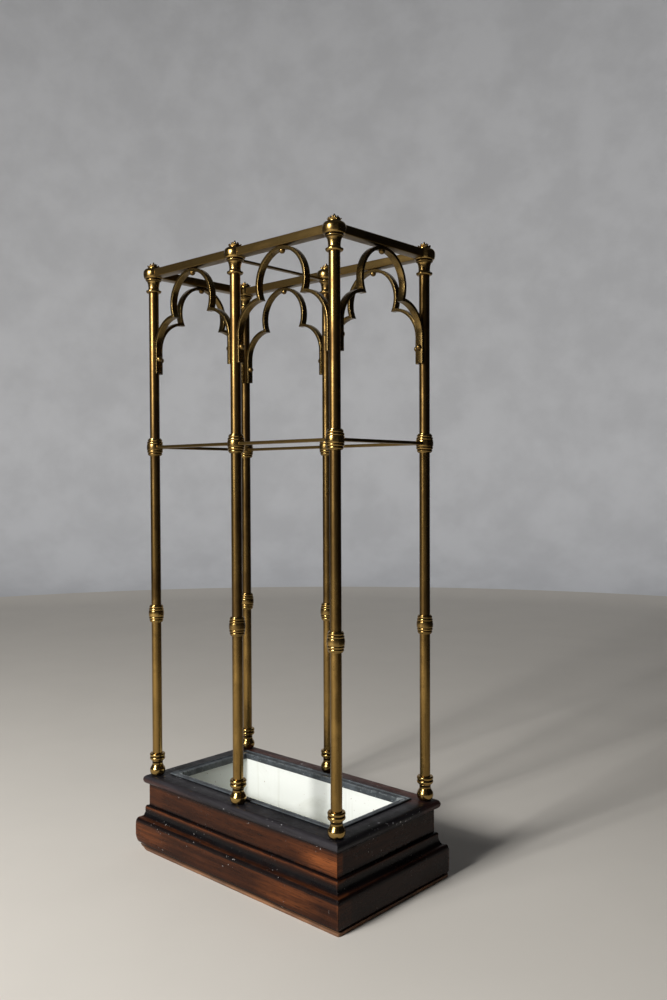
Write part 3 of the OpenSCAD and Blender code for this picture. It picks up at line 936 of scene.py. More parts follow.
@dataclass(frozen=True)
class EbonisedWood(Finish):
    """Black stained top, dusty on its flat, worn through to the red wood at the back and on its edge."""

    black: Colour = (0.0075, 0.0068, 0.0085)
    haze: Colour = (0.024, 0.022, 0.026)
    red: Colour = (0.085, 0.028, 0.018)
    red_dark: Colour = (0.036, 0.013, 0.010)
    shade_and_soil: Colour = (0.005, 0.005, 0.007)
    fleck: Colour = (0.42, 0.42, 0.44)

    def material(self) -> Material:
        """Builds the material."""
        w = Wiring(self.name)
        figure = w.grain(110, self.lay, detail=8, rough=0.66, twist=0.4)
        colour = w.mix(w.level(figure, 0.38, 0.64), self.black, self.haze)
        red_grain = w.mix(w.level(figure, 0.35, 0.65), self.red_dark, self.red)
        through = w.level(w.grain(60, self.lay, detail=6, seed=4.4), 0.36, 0.56, 0.45, 1.0)
        colour = w.mix(w.times(w.read("wear_and_highlight"), through), colour, red_grain)
        # Painted shade: under the round edge and round the column feet the top goes near black.
        colour = w.mix(w.times(w.read("shade_and_soil"), 0.9), colour, self.shade_and_soil)
        nicks = w.level(w.grain(260, detail=3, rough=0.5, seed=1.9), 0.66, 0.70)
        nicks = w.times(nicks, w.level(w.grain(28, detail=2, seed=3.7), 0.50, 0.62, 0.0, 0.85))
        colour = w.mix(nicks, colour, self.fleck)
        rough = w.level(w.grain(52, detail=6, seed=9.1), 0.3, 0.7, 0.32, 0.54)
        normal = w.bump(w.grain(480, self.lay, detail=5, seed=2.2), 0.00018, 0.60)
        normal = w.bump(w.grain(120, detail=5, rough=0.65, seed=5.1), 0.0007, 0.40, normal)
        return w.finish(
            Base_Color=colour, Metallic=0.0, Roughness=rough, Normal=normal, Specular_IOR_Level=0.20,
            Coat_Weight=0.02, Coat_Roughness=0.3,
        )


@dataclass(frozen=True)
class StainedPaint(Finish):
    """Pale paint on sheet metal, stained by water and scratched by ferrules."""

    paint: Colour = (0.82, 0.85, 0.82)
    stain: Colour = (0.42, 0.43, 0.33)
    rust: Colour = (0.20, 0.075, 0.025)
    dirt_top: float = 0.034
    dirt_low: float = 0.021

    def material(self) -> Material:
        """Builds the material."""
        w = Wiring(self.name)
        cloud = w.grain(16, detail=7, rough=0.62, twist=0.5)
        colour = w.mix(w.level(cloud, 0.52, 0.80, 0.0, 0.4), self.paint, self.stain)
        drips = w.level(w.grain(70, Lay.UPRIGHT, detail=5, seed=2.6), 0.55, 0.75)
        colour = w.mix(w.times(drips, 0.35), colour, self.stain)
        floor = w.level(w.height(), self.dirt_top, self.dirt_low)
        colour = w.mix(w.times(floor, w.level(cloud, 0.35, 0.6, 0.35, 0.9)), colour, self.stain)
        specks = w.level(w.grain(260, detail=3, seed=7.3), 0.68, 0.73)
        colour = w.mix(w.times(specks, 0.8), colour, self.rust)
        colour = w.mix(w.times(w.level(w.read("relief"), 0.4, 0.95), 0.5), colour, self.rust)
        rough = w.level(cloud, 0.35, 0.7, 0.34, 0.6)
        normal = w.bump(w.grain(500, detail=4, rough=0.6, seed=3.3), 0.00015, 0.3)
        return w.finish(Base_Color=colour, Metallic=0.0, Roughness=rough, Normal=normal)


@dataclass(frozen=True)
class WornPaint(Finish):
    """Dark paint on the rim, worn to bare zinc along its rolled edge."""

    paint: Colour = (0.030, 0.036, 0.041)
    pale: Colour = (0.085, 0.100, 0.115)
    zinc: Colour = (0.58, 0.64, 0.66)

    def material(self) -> Material:
        """Builds the material."""
        w = Wiring(self.name)
        colour = w.mix(w.level(w.grain(90, detail=6, rough=0.65), 0.40, 0.68, 0.1, 0.9), self.paint, self.pale)
        flaking = w.level(w.grain(330, detail=5, rough=0.7, seed=2.4), 0.44, 0.56)
        chips = w.level(w.grain(420, detail=3, seed=5.8), 0.67, 0.71)
        bare = w.plus(w.times(w.read("wear_and_highlight"), flaking), w.times(chips, 0.5))
        colour = w.mix(bare, colour, self.zinc)
        rough = w.level(bare, 0.0, 1.0, 0.48, 0.34)
        normal = w.bump(w.grain(700, detail=4, rough=0.7, seed=1.5), 0.0003, 0.5)
        return w.finish(Base_Color=colour, Metallic=w.times(bare, 0.8), Roughness=rough, Normal=normal)


@dataclass(frozen=True)
class OldIron(Finish):
    """Dull iron with rust in patches."""

    iron: Colour = (0.16, 0.155, 0.15)
    rust: Colour = (0.16, 0.055, 0.02)

    def material(self) -> Material:
        """Builds the material."""
        w = Wiring(self.name)
        patches = w.level(w.grain(240, detail=6, rough=0.7), 0.44, 0.62)
        colour = w.mix(patches, self.iron, self.rust)
        rough = w.level(patches, 0, 1, 0.42, 0.85)
        normal = w.bump(w.grain(1500, detail=4, rough=0.7, seed=3.9), 0.00012, 0.5)
        return w.finish(Base_Color=colour, Metallic=w.level(patches, 0, 1, 0.9, 0.1), Roughness=rough, Normal=normal)


@dataclass(frozen=True)
class Softwood(Finish):
    """Sawn pine: pale and dark year rings, saw marks across and a century of dust."""

    pale: Colour = (0.27, 0.125, 0.055)
    ring: Colour = (0.13, 0.052, 0.022)
    dust: Colour = (0.060, 0.040, 0.028)

    def material(self) -> Material:
        """Builds the material."""
        w = Wiring(self.name)
        rings = w.grain(170, self.lay, detail=4, rough=0.5, twist=1.1)
        colour = w.mix(w.level(rings, 0.40, 0.62), self.pale, self.ring)
        colour = w.mix(w.level(w.grain(24, detail=6, seed=6.3), 0.38, 0.72, 0.15, 0.9), colour, self.dust)
        marks = w.grain(300, Lay.ALONG_Y if self.lay is Lay.ALONG_X else Lay.ALONG_X, detail=2, seed=2.1)
        normal = w.bump(marks, 0.0003, 0.4)
        normal = w.bump(w.grain(900, self.lay, detail=3), 0.00015, 0.4, normal)
        return w.finish(Base_Color=colour, Metallic=0.0, Roughness=0.78, Normal=normal)


class Paintshop:
    """Keeps one material for each finish."""

    def __init__(self) -> None:
        """Starts with an empty shelf."""
        self.shelf: dict[Finish, Material] = {}

    def dress(self, piece: Piece, finish: Finish) -> None:
        """Gives a piece one finish all over.

        Args:
            piece: The piece or CAD node to dress.
            finish: A finish of this file.
        """
        if finish not in self.shelf:
            self.shelf[finish] = finish.material()
        piece.data.materials.clear()
        piece.data.materials.append(self.shelf[finish])


# Both column finishes paint a highlight that makes the brass lighter towards the bottom.
COLUMN_BRASS_UPRIGHT = AgedBrass(
    "column_brass_drawn", Lay.UPRIGHT, bright=(0.270, 0.168, 0.052), patina=(0.056, 0.032, 0.0115),
    shine=0.23, dull=0.36, tarnish=0.08, low_painted_highlight=0.55,
)
COLUMN_BRASS_TURNED = AgedBrass(
    "column_brass_turned", Lay.TURNED, bright=(0.36, 0.235, 0.078), patina=(0.070, 0.041, 0.015),
    shine=0.19, dull=0.36, low_painted_highlight=0.5,
)
RAIL_COLOURS = {"bright": (0.22, 0.145, 0.050), "patina": (0.075, 0.044, 0.016), "shine": 0.30, "dull": 0.46}
RAIL_BRASS_X = AgedBrass("rail_brass_along_x", Lay.ALONG_X, tarnish=0.02, **RAIL_COLOURS)
RAIL_BRASS_Y = AgedBrass("rail_brass_along_y", Lay.ALONG_Y, tarnish=0.02, **RAIL_COLOURS)
ARCH_BRASS = AgedBrass(
    "arch_brass_cast", Lay.EVEN, bright=(0.21, 0.140, 0.050), patina=(0.050, 0.031, 0.0125),
    shine=0.26, dull=0.42, tarnish=0.05,
)
SCREW_BRASS = AgedBrass("screw_brass", Lay.TURNED, bright=(0.36, 0.25, 0.09), shine=0.22, tarnish=0.04)
MAHOGANY_X = PolishedWood("mahogany_along_x", Lay.ALONG_X)
MAHOGANY_Y = PolishedWood("mahogany_along_y", Lay.ALONG_Y)
EBONISED_X = EbonisedWood("ebonised_along_x", Lay.ALONG_X)
EBONISED_Y = EbonisedWood("ebonised_along_y", Lay.ALONG_Y)
TRAY_PAINT = StainedPaint("tray_paint")
RIM_PAINT = WornPaint("rim_paint")
IRON = OldIron("old_iron")
PINE_X = Softwood("pine_along_x", Lay.ALONG_X)
PINE_UP = Softwood("pine_upright", Lay.UPRIGHT)


@dataclass
class SubAssembly:
    """One part of the stand, with what it needs to place and dress its pieces."""

    layout: Layout
    paintshop: Paintshop
    frame: dict
    made: list[str] = field(default_factory=list)

    def settle(
        self, piece: Piece, finish: Finish, slot: Slot, nodes: Sequence[str], body: Body = Body.STAND
    ) -> None:
        """Finishes a piece that was modelled in millimetres and lets it ride on its body.

        Args:
            piece: The piece.
            finish: Its finish.
            slot: The record's slot for it; not used.
            nodes: CAD nodes that it stands for.
            body: The body that it rides on.
        """
        if "relief" not in piece.data.attributes:
            write_relief(piece)
        for name in ("shade_and_soil", "wear_and_highlight"):
            if name not in piece.data.attributes:
                write_level(piece, name, np.zeros(len(piece.data.vertices)))
        piece.data.transform(Matrix.Scale(MM, 4))
        pick_up(piece)
        bpy.ops.object.shade_smooth_by_angle(angle=math.radians(SMOOTH_UP_TO))
        self.paintshop.dress(piece, finish)
        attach(piece, body.value)
        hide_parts(*nodes)
        self.made.append(piece.name)

    def keep(self, node: str, finish: Finish) -> None:
        """Keeps a CAD node and gives it a finish."""
        self.paintshop.dress(self.frame["nodes"][node], finish)
        self.made.append(node)

    def build(self) -> list[str]:
        """Models the pieces and returns their names."""
        raise NotImplementedError


@dataclass
class Base(SubAssembly):
    """Moulded mahogany base: plinth, frieze and top frame of mitred boards, on a bottom board."""

    inset: float = 7.0
    tray_inset: float = 14.6
    board_reach: float = 17.0
    plinth_reach: float = 17.3
    fillet_h: float = 5.2
    fillet_reach: float = 9.7
    fillet_r: float = 2.2
    cavetto_h: float = 7.6
    cavetto_reach: float = 13.8
    shoulder_h: float = 6.8
    step_w: float = 0.6
    under_r: float = 3.8
    frieze_reach: float = 6.5
    top_reach: float = 11.4
    screw_r: float = 1.65
    sink_r: float = 3.35
    sink_h: float = 1.85
    slice_mm: float = 2.6
    mitre_gap: float = 0.06
    arris: float = 0.4
    ease: float = 0.25
    corner_wear: float = 5.2
    corner_h: float = 15.0
    corner_l: float = 20.0
    wave: float = 0.10

    @property
    def shoulder_z(self) -> float:
        """Height of the plinth's vertical face above its lower edge."""
        return self.hollow_z - self.shoulder_h

    @property
    def hollow_z(self) -> float:
        """Height of the hollow's lower end above the plinth's lower edge."""
        return self.layout.plinth_h - self.fillet_h - self.cavetto_h

    def plinth_outline(self) -> list[Point]:
        """Reach and height of the plinth moulding, from its inner lower corner."""
        h, r = self.layout.plinth_h, self.fillet_r
        hollow = self.cavetto_reach - self.fillet_reach
        step = self.cavetto_reach + self.step_w
        return [
            (-self.inset, 0.0),
            *arc(self.plinth_reach - self.under_r, self.under_r, self.under_r, self.under_r, -90, 0),
            *arc(step, self.shoulder_z, self.plinth_reach - step, self.shoulder_h, 0, 90),
            *arc(self.cavetto_reach, h - self.fillet_h, hollow, self.cavetto_h, 270, 180),
            *arc(self.fillet_reach - r, h - r, r, r, 0, 90, 5),
            (-self.inset, h),
        ]

    def frieze_outline(self) -> list[Point]:
        """Reach and height of the frieze boards."""
        h = self.layout.frieze_h
        return [(-self.inset, 0.0), (self.frieze_reach, 0.0), (self.frieze_reach, h), (-self.inset, h)]

    def top_outline(self) -> list[Point]:
        """Reach and height of the top frame with its round edge."""
        r = self.layout.top_t / 2
        return [(-self.tray_inset, 0.0), *arc(self.top_reach - r, r, r, r, -90, 90, 12), (-self.tray_inset, 2 * r)]

    def board(self, name: str, outline: Sequence[Point], z: float, run: float, side: float) -> Piece:
        """Moulds one board on the side at -Y and saws its mitres.

        Args:
            name: Name of the board.
            outline: Reach and height of its section.
            z: Height of its lower face.
            run: Half the length between the column lines.
            side: Distance from the middle to its own column line.

        Returns:
            The board.
        """
        section = eased([(reach, z + height) for reach, height in outline], self.ease, closed=True)
        section = stepped(section, 4.2)
        board = mitred_run(name, section, side, run, self.mitre_gap)
        bevel_sharp(board, self.arris, segments=3, limit=40)
        divide_long(board, X_AXIS, 2 * self.slice_mm, round(2 * run / self.slice_mm))
        return board

    def frame_of_boards(
        self, names: dict[str, list[str]], outline: Sequence[Point], z: float, finishes: tuple, slot: Slot,
        shade_and_soil: ByPlace, wear_and_highlight: ByPlace, chip: float,
    ) -> None:
        """Makes the four boards of one course.

        Args:
            names: CAD nodes for each side, in the order front, right, back, left.
            outline: Section of the boards.
            z: Height of the course.
            finishes: Finish of the long and of the short boards.
            slot: The record's slot.
            shade_and_soil: Painted shade and dirt, by place.
            wear_and_highlight: How far the polish is worn through, with painted highlights and a lighter front, by
                place.
            chip: Depth of the deepest chips.
        """
        half_l, half_w = self.layout.half_l, self.layout.half_w
        long = self.board("long_pattern", outline, z, half_l, half_w)
        short = self.board("short_pattern", outline, z, half_w, half_l)
        boards = four_sides(long, short, list(names))
        for i, (board, nodes) in enumerate(zip(boards, names.values(), strict=True)):
            weather(board, self.wave, chip, seed=1.0 + i + z)
            write_by_place(board, "shade_and_soil", shade_and_soil)
            write_by_place(board, "wear_and_highlight", wear_and_highlight)
            self.wear_corner(board)
            self.trim_to_reach(board)
            self.settle(board, finishes[i % 2], slot, nodes)

    def wear_corner(self, piece: Piece) -> None:
        """Rounds the lower left corner of the front, which years of moving have worn away."""
        for vertex in piece.data.vertices:
            place = vertex.co
            depth = self.corner_wear * (1 - ramp(place.z, -4.0, self.corner_h)) ** 1.4
            past_x, past_y = -place.x - self.layout.half_l, -place.y - self.layout.half_w
            near_x = ramp(past_x, self.plinth_reach - self.corner_l, self.plinth_reach)
            near_y = ramp(past_y, self.plinth_reach - self.corner_l, self.plinth_reach)
            vertex.co += Vector((depth * near_y * near_x, depth * near_x * near_y, 0))

    def trim_to_reach(self, piece: Piece) -> None:
        """Planes off what a mitre's bevel leaves beyond the plinth's face."""
        x, y = self.layout.half_l + self.plinth_reach, self.layout.half_w + self.plinth_reach
        for vertex in piece.data.vertices:
            place = vertex.co
            vertex.co = (max(-x, min(x, place.x)), max(-y, min(y, place.y)), max(0.0, place.z))

    def plinth_shade_and_grime(self, place: Vector) -> float:
        """Painted shade of the plinth, with some grime: its hollow, its shoulder, the foot of its face and the joint
        below the frieze.
        """
        h = place.z - self.layout.board_t
        # Painted shade: the hollow, the shoulder, the foot and the joint go dark where shadow would fall.
        hollow = band(h, self.hollow_z + 3.6, 5.4)
        shoulder = 0.72 * band(h, self.hollow_z - 2.2, 3.6)
        foot = 0.85 * (1 - ramp(h, 0.4, 4.2))
        return min(1.0, max(hollow, shoulder, foot, 0.9 * band(h, self.layout.plinth_h, 1.6)))

    def plinth_wear_and_highlight(self, place: Vector) -> float:
        """Bare places of the plinth, with painted light: highlight lines along its fillet and its step, worn parts of
        its face, and the front lighter than the other sides.
        """
        h = place.z - self.layout.board_t
        # Painted light: the front is lighter than the other sides.
        front = 1.0 if place.y < -self.layout.half_w else 0.25
        # Painted highlight: thin light lines along the fillet and the step where the light catches them, with some
        # wear.
        fillet = 0.55 * band(h, self.layout.plinth_h - 2.6, 2.0)
        step = 0.60 * band(h, self.hollow_z - 0.1, 0.9) + 0.30 * band(h, self.shoulder_z + 1.0, 1.6)
        face = (1 - ramp(h, self.shoulder_z - 1, self.shoulder_z + 2)) * ramp(h, 2.0, 6.0)
        left = 0.50 * (1 - ramp(place.x, -150.0, -70.0))
        right = 0.34 * band(place.x, 84.0, 45.0)
        return min(1.0, front * max(fillet, step, face * (0.14 + left + right)))

    def frieze_painted_shade(self, place: Vector) -> float:
        """Painted shade of the frieze, below the overhanging top frame and at its joint with the fillet."""
        h = place.z - self.layout.board_t - self.layout.plinth_h
        return min(1.0, 0.85 * band(h, self.layout.frieze_h, 4.0) + 0.95 * band(h, 0.0, 1.8))

    def frieze_wear_and_highlight(self, place: Vector) -> float:
        """Bare places of the frieze: a large patch on the front by the right corner, and the front lighter than the
        other sides as painted light.
        """
        h = place.z - self.layout.board_t - self.layout.plinth_h
        # Painted light: the sides other than the front stay darker.
        if place.y > -self.layout.half_w:
            return 0.08
        slope = place.x + 2.2 * (h - 12)
        patch = ramp(place.x - 0.9 * (h - 8), 78.0, 118.0) * (1 - ramp(h, 15.0, 23.0))
        left = 0.25 * band(place.x, -128.0, 30.0)
        return min(1.0, max(0.95 * patch, 0.35 * ramp(slope, 60.0, 110.0), left, 0.16))

    def top_painted_shade(self, place: Vector) -> float:
        """Painted shade of the top frame, under its round edge and round the feet of the columns."""
        h = place.z - (self.layout.base_h - self.layout.top_t)
        under = 0.9 * band(h, 0.0, 3.0)
        feet = max(
            band(math.hypot(place.x - x, place.y - y), 6.0, 4.5) for x, y in self.layout.columns().values()
        )
        return min(1.0, max(under, feet if h > 9 else 0.0))

    def top_rubbed(self, place: Vector) -> float:
        """Bare places of the top frame: its back board, and its round edge at the left."""
        back = ramp(place.y, 40.0, 62.0)
        h = place.z - (self.layout.base_h - self.layout.top_t)
        edge = band(h, 3.4, 3.6) * (1 - ramp(place.x, -140.0, -20.0))
        return min(1.0, max(0.9 * back, 0.6 * edge))

    def bottom_board(self) -> Piece:
        """Planes the bottom board, rounds its lower edge and sinks its screw holes."""
        x, y = self.layout.half_l + self.board_reach, self.layout.half_w + self.board_reach
        corners = [Vector((a * x, b * y, 0)) for a, b in ((-1, -1), (1, -1), (1, 1), (-1, 1))]
        board = start_outline("bottom_board_worn", corners, filled=True)
        with editing(board):
            bpy.ops.mesh.extrude_region_move(TRANSFORM_OT_translate={"value": (0, 0, self.layout.board_t)})
        weld(board)
        with editing(board, Element.EDGES):
            choose(board, Element.EDGES, runs_along(Z_AXIS, 1))
            bpy.ops.mesh.bevel(offset=2.0, segments=3, affect="EDGES")
            choose(board, Element.EDGES, lambda e: all(v.co.z < 0.1 for v in e.verts) and len(e.link_faces) == 2)
            bpy.ops.mesh.bevel(offset=1.3, segments=3, affect="EDGES")
        for direction, cuts in ((X_AXIS, 96), (Y_AXIS, 48)):
            divide_long(board, direction, 60, cuts)
        self.sink_holes(board)
        return board

    def sink_holes(self, board: Piece) -> None:
        """Cuts the countersunk holes of the bottom board's screws."""
        line = (self.plinth_reach - self.inset) / 2
        quarters = (-0.75, -0.25, 0.25, 0.75)
        long_side = [(q * self.layout.bay, w * (self.layout.half_w + line)) for q in quarters for w in (-1, 1)]
        places = [*long_side, (-self.layout.half_l - line, 0.0), (self.layout.half_l + line, 0.0)]
        shape = [(self.sink_r, -1.0), (self.sink_r, 0.0), (self.screw_r, self.sink_h)]
        drill = turn("drill_pattern", [*shape, (self.screw_r, self.layout.board_t + 1)], 0.0, 24)
        drills = join([copy_piece(drill, "drill", Matrix.Translation((x, y, 0))) for x, y in places], "drills")
        discard(drill)
        modify(board, "BOOLEAN", operation="DIFFERENCE", object=drills, solver="EXACT")
        discard(drills)

    def build(self) -> list[str]:
        """Models the boards and dresses the blocks and screws."""
        sides = ("front", "right", "back", "left")
        mid = self.layout.board_t + self.layout.plinth_h
        top = mid + self.layout.frieze_h
        mahogany, ebony = (MAHOGANY_X, MAHOGANY_Y), (EBONISED_X, EBONISED_Y)
        ends = {"front": "long", "back": "long", "left": "end", "right": "end"}
        self.frame_of_boards(
            {f"plinth_moulding_{s}": [f"plinth_{s}"] for s in sides}, self.plinth_outline(), self.layout.board_t,
            mahogany, Slot.MAHOGANY, self.plinth_shade_and_grime, self.plinth_wear_and_highlight, 0.5,
        )
        self.frame_of_boards(
            {f"frieze_board_{s}": [f"frieze_{ends[s]}_boards"] for s in sides}, self.frieze_outline(), mid,
            mahogany, Slot.MAHOGANY, self.frieze_painted_shade, self.frieze_wear_and_highlight, 0.3,
        )
        self.frame_of_boards(
            {f"top_board_{s}": [f"top_frame_{s}"] for s in sides}, self.top_outline(), top,
            ebony, Slot.EBONISED, self.top_painted_shade, self.top_rubbed, 0.45,
        )
        board = self.bottom_board()
        weather(board, 0.08, 0.35, seed=7.0)
        self.wear_corner(board)
        self.settle(board, PINE_X, Slot.PINE, ["bottom_board"])
        self.keep("glue_blocks", PINE_UP)
        self.keep("board_screws", IRON)
        return self.made


@dataclass
class DripTray(SubAssembly):
    """Lift-out drip tray: a folded pan under a rim with a rolled edge."""

    pan_l: float = 235.2
    pan_w: float = 102.2
    pan_low: float = 22.5
    pan_t: float = 1.0
    corner_r: float = 3.0
    floor_r: float = 2.2
    rim_l: float = 244.8
    rim_w: float = 111.8
    rim_t: float = 0.8
    lip_depth: float = 5.5
    bead_r: float = 0.9
    arris: float = 0.7

    def pan(self) -> Piece:
        """Folds the pan from a block: open top, round corners, one wall thickness."""
        pan = block(self.pan_l, self.pan_w, self.pan_low, self.layout.base_h - CLEARANCE)
        pan.name = pan.data.name = "drip_pan"
        with editing(pan):
            choose(pan, Element.FACES, lambda f: f.normal.z > 0.9)
            bpy.ops.mesh.delete(type="FACE")
            choose(pan, Element.EDGES, runs_along(Z_AXIS, 10))
            bpy.ops.mesh.bevel(offset=self.corner_r, segments=7, affect="EDGES")
            choose(
                pan, Element.EDGES,
                lambda e: all(v.co.z < self.pan_low + 0.1 for v in e.verts) and len(e.link_faces) == 2,
            )
            bpy.ops.mesh.bevel(offset=self.floor_r, segments=4, affect="EDGES")
        modify(pan, "SOLIDIFY", thickness=self.pan_t, offset=-1)
        with editing(pan, Element.EDGES):
            for cuts in (7, 1):
                choose(pan, Element.EDGES, lambda e: e.calc_length() > 12)
                bpy.ops.mesh.subdivide(number_cuts=cuts)
        return pan

    def dent(self, pan: Piece) -> None:
        """Dents the floor and walls of the pan a little, both faces together."""
        for vertex in pan.data.vertices:
            depth = 0.5 * noise.noise(Vector((vertex.co.x, vertex.co.y, 0)) / 33)
            if vertex.co.z < self.pan_low + 3:
                vertex.co.z += max(0.0, depth + 0.25)
            elif vertex.co.z < self.layout.base_h - 14:
                vertex.co.y += 0.35 * noise.noise(Vector((vertex.co.x / 30, 9.0, vertex.co.z / 30)))

    def rim(self) -> Piece:
        """Folds the rim from four mitred strips: lip, flat flange and rolled edge."""
        top = self.layout.base_h
        flange, half_l, half_w = 0.02, self.rim_l / 2, self.rim_w / 2
        lip_out = self.pan_w / 2 - self.pan_t - CLEARANCE - half_w
        lip_in = lip_out - self.pan_t
        roll = arc(0.0, self.bead_r + CLEARANCE, self.bead_r, self.bead_r, -118, 152, 12)
        section = eased(
            [
                (lip_in, -self.lip_depth), (lip_out, -self.lip_depth), (lip_out, flange),
                *[(reach, max(z, flange)) for reach, z in roll],
                (-self.bead_r - 0.1, self.rim_t), (lip_in, self.rim_t),
            ],
            0.3, closed=True,
        )
        section = stepped([(reach, top + z) for reach, z in section], 2.4)
        long = mitred_run("long_strip", section, half_w, half_l, 0.0, cap=False)
        short = mitred_run("short_strip", section, half_l, half_w, 0.0, cap=False)
        rim = join(four_sides(long, short, ["strip"] * 4), "tray_rim_rolled")
        weld(rim, 0.02)
        bevel_sharp(rim, self.arris, segments=3, limit=50)
        for direction, cuts in ((X_AXIS, 80), (Y_AXIS, 36)):
            divide_long(rim, direction, 20, cuts)
        return rim

    def rim_rubbed(self, place: Vector) -> float:
        """Bare metal of the rim, mostly along its inner arris at the front and right."""
        inner_x, inner_y = self.pan_l / 2 - 2 * self.pan_t, self.pan_w / 2 - 2 * self.pan_t
        inward = max(abs(place.x) - inner_x, abs(place.y) - inner_y)
        arris = band(inward, 0.3, 1.3) * ramp(place.z, self.layout.base_h - 1.0, self.layout.base_h)
        front = ramp(-place.y, inner_y - 6, inner_y)
        much = max(front * (0.25 + 0.75 * ramp(place.x, 10.0, 80.0)), 0.55 * ramp(place.x, inner_x - 6, inner_x))
        corner = band(math.hypot(place.x + self.rim_l / 2, place.y + self.rim_w / 2), 0.0, 22.0)
        far = band(math.hypot(place.x - inner_x, place.y - inner_y), 0.0, 7.0)
        return min(1.0, arris * (0.15 + much) + 0.6 * corner * (0.3 + arris) + 0.7 * far)

    def build(self) -> list[str]:
        """Models pan and rim, which ride on the tray."""
        pan = self.pan()
        write_relief(pan)
        self.dent(pan)
        self.settle(pan, TRAY_PAINT, Slot.TRAY, ["drip_tray"], Body.TRAY)
        rim = self.rim()
        weather(rim, 0.08, 0.25, seed=3.0)
        write_by_place(rim, "wear_and_highlight", self.rim_rubbed)
        self.settle(rim, RIM_PAINT, Slot.RIM, ["tray_rim"], Body.TRAY)
        return self.made


@dataclass
class Columns(SubAssembly):
    """Six columns: turned foot, drawn shaft, two reeded rings, capital and crown nut."""

    foot_h: float = 24.5
    foot_edge: float = 0.3
    foot_band: float = 0.6
    foot_bulge: float = 1.2
    bulb_r: float = 8.3
    bulb_h: float = 5.5
    pad_r: float = 5.3
    flare_h: float = 13.0
    neck_r: float = 5.7
    neck_bead_h: float = 1.4
    neck_bead_out: float = 0.7
    ring_h: float = 7.5
    ring_r: float = 8.3
    foot_socket: float = 7.0
    lower_ring_z: float = 257.5
    lower_ring_r: float = 8.3
    collar_r: float = 8.75
    barrel_h: float = 19.0
    barrel_end_r: float = 6.7
    end_band: float = 0.8
    reed_h: float = 2.7
    reed_bulge: float = 0.7
    reed_step: float = 0.3
    middle_bulge: float = 0.4
    capital_z: float = 606.0
    cap_ring_h: float = 5.0
    cap_ring_r: float = 8.2
    cap_edge_share: float = 0.4
    cap_socket: float = 4.0
    bell_h: float = 9.5
    bell_neck_r: float = 5.7
    bell_lip_r: float = 8.6
    bell_reach: float = 1.2
    lip_edge: float = 0.3
    lip_band: float = 0.9
    groove_h: float = 0.9
    groove_r: float = 7.8
    boss_h: float = 10.6
    boss_r: float = 10.9
    boss_top_r: float = 7.3
    boss_low_r: float = 9.2
    boss_widest: float = 5.6
    crown_r: float = 7.0
    crown_base_h: float = 1.2
    leaf_tip_h: float = 3.8
    inner_r: float = 4.2
    inner_tip_h: float = 5.9
    crown_tip_h: float = 7.6
    leaf_t: float = 0.7
    leaf_ridge: float = 0.3
    leaf_lean: float = 0.3
    turning: float = 7.0
    leaves: int = 8
    bore: float = 2.15

    @property
    def socket_r(self) -> float:
        """Radius of the sockets that hold a shaft."""
        return self.layout.shaft_r + CLEARANCE

    def foot(self) -> Piece:
        """Turns the foot: bulb, flare, neck bead and double bead, with the shaft's socket."""
        ring_z = self.foot_h - self.ring_h
        bead_z = ring_z + self.ring_h / 2
        outline = [
            (self.pad_r, 0.0),
            *arc(self.pad_r, self.bulb_h, self.bulb_r - self.pad_r, self.bulb_h - self.foot_edge, -90, 0),
            *ogee(self.bulb_r, self.neck_r, self.bulb_h + self.foot_band, self.flare_h),
            *bead(self.neck_r + self.neck_bead_out, ring_z - self.neck_bead_h, ring_z, self.neck_bead_out),
            *bead(self.ring_r, ring_z, bead_z, self.foot_bulge),
            *bead(self.ring_r, bead_z, self.foot_h, self.foot_bulge),
            (self.socket_r, self.foot_h), (self.socket_r, self.foot_h - self.foot_socket),
        ]
        return turn("foot_pattern", outline, self.bore)

    def barrel(self, radius: float) -> Piece:
        """Turns a reeded ring: two beads above and below a plain band.

        Args:
            radius: Radius of the band.

        Returns:
            The ring, centred on the origin.
        """
        low, half, out = self.end_band, self.barrel_h / 2, self.middle_bulge
        lower = [
            (self.barrel_end_r, 0.0), (self.barrel_end_r, low),
            *bead((self.barrel_end_r + radius) / 2, low, low + self.reed_h, self.reed_bulge),
            *bead(radius - self.reed_step, low + self.reed_h, low + 2 * self.reed_h, self.reed_bulge),
            *arc(radius - out, half, out, half - low - 2 * self.reed_h, -90, 0),
        ]
        upper = [(r, self.barrel_h - z) for r, z in reversed(lower[:-1])]
        outline = [(r, z - half) for r, z in lower + upper]
        return turn("barrel_pattern", outline, self.socket_r)

    def capital(self) -> Piece:
        """Turns the capital: sharp ring, bell, groove and the boss that takes the rails."""
        lip_z = self.cap_ring_h + self.bell_h
        boss_low = lip_z + self.groove_h
        lip, edge = self.bell_lip_r - self.lip_edge, self.cap_ring_h * self.cap_edge_share
        widest = boss_low + self.boss_widest
        outline = [
            (self.socket_r, self.cap_socket), (self.socket_r, 0.0),
            *arc(self.cap_ring_r - edge, edge, edge, edge, -90, 0),
            *arc(self.cap_ring_r, self.cap_ring_h, self.cap_ring_r - self.bell_neck_r, self.cap_ring_h / 2, 270, 180),
            *arc(lip, self.cap_ring_h, lip - self.bell_neck_r, self.bell_h - self.bell_reach, 180, 90, 12),
            (self.bell_lip_r, lip_z - self.lip_band), (self.bell_lip_r, lip_z - self.lip_edge), (lip, lip_z),
            (self.groove_r, lip_z), (self.groove_r, boss_low),
            *arc(self.boss_low_r, widest, self.boss_r - self.boss_low_r, self.boss_widest, -90, 0),
            *arc(self.boss_top_r, widest, self.boss_r - self.boss_top_r, self.boss_h - self.boss_widest, 0, 90),
        ]
        return turn("capital_pattern", outline, self.bore)

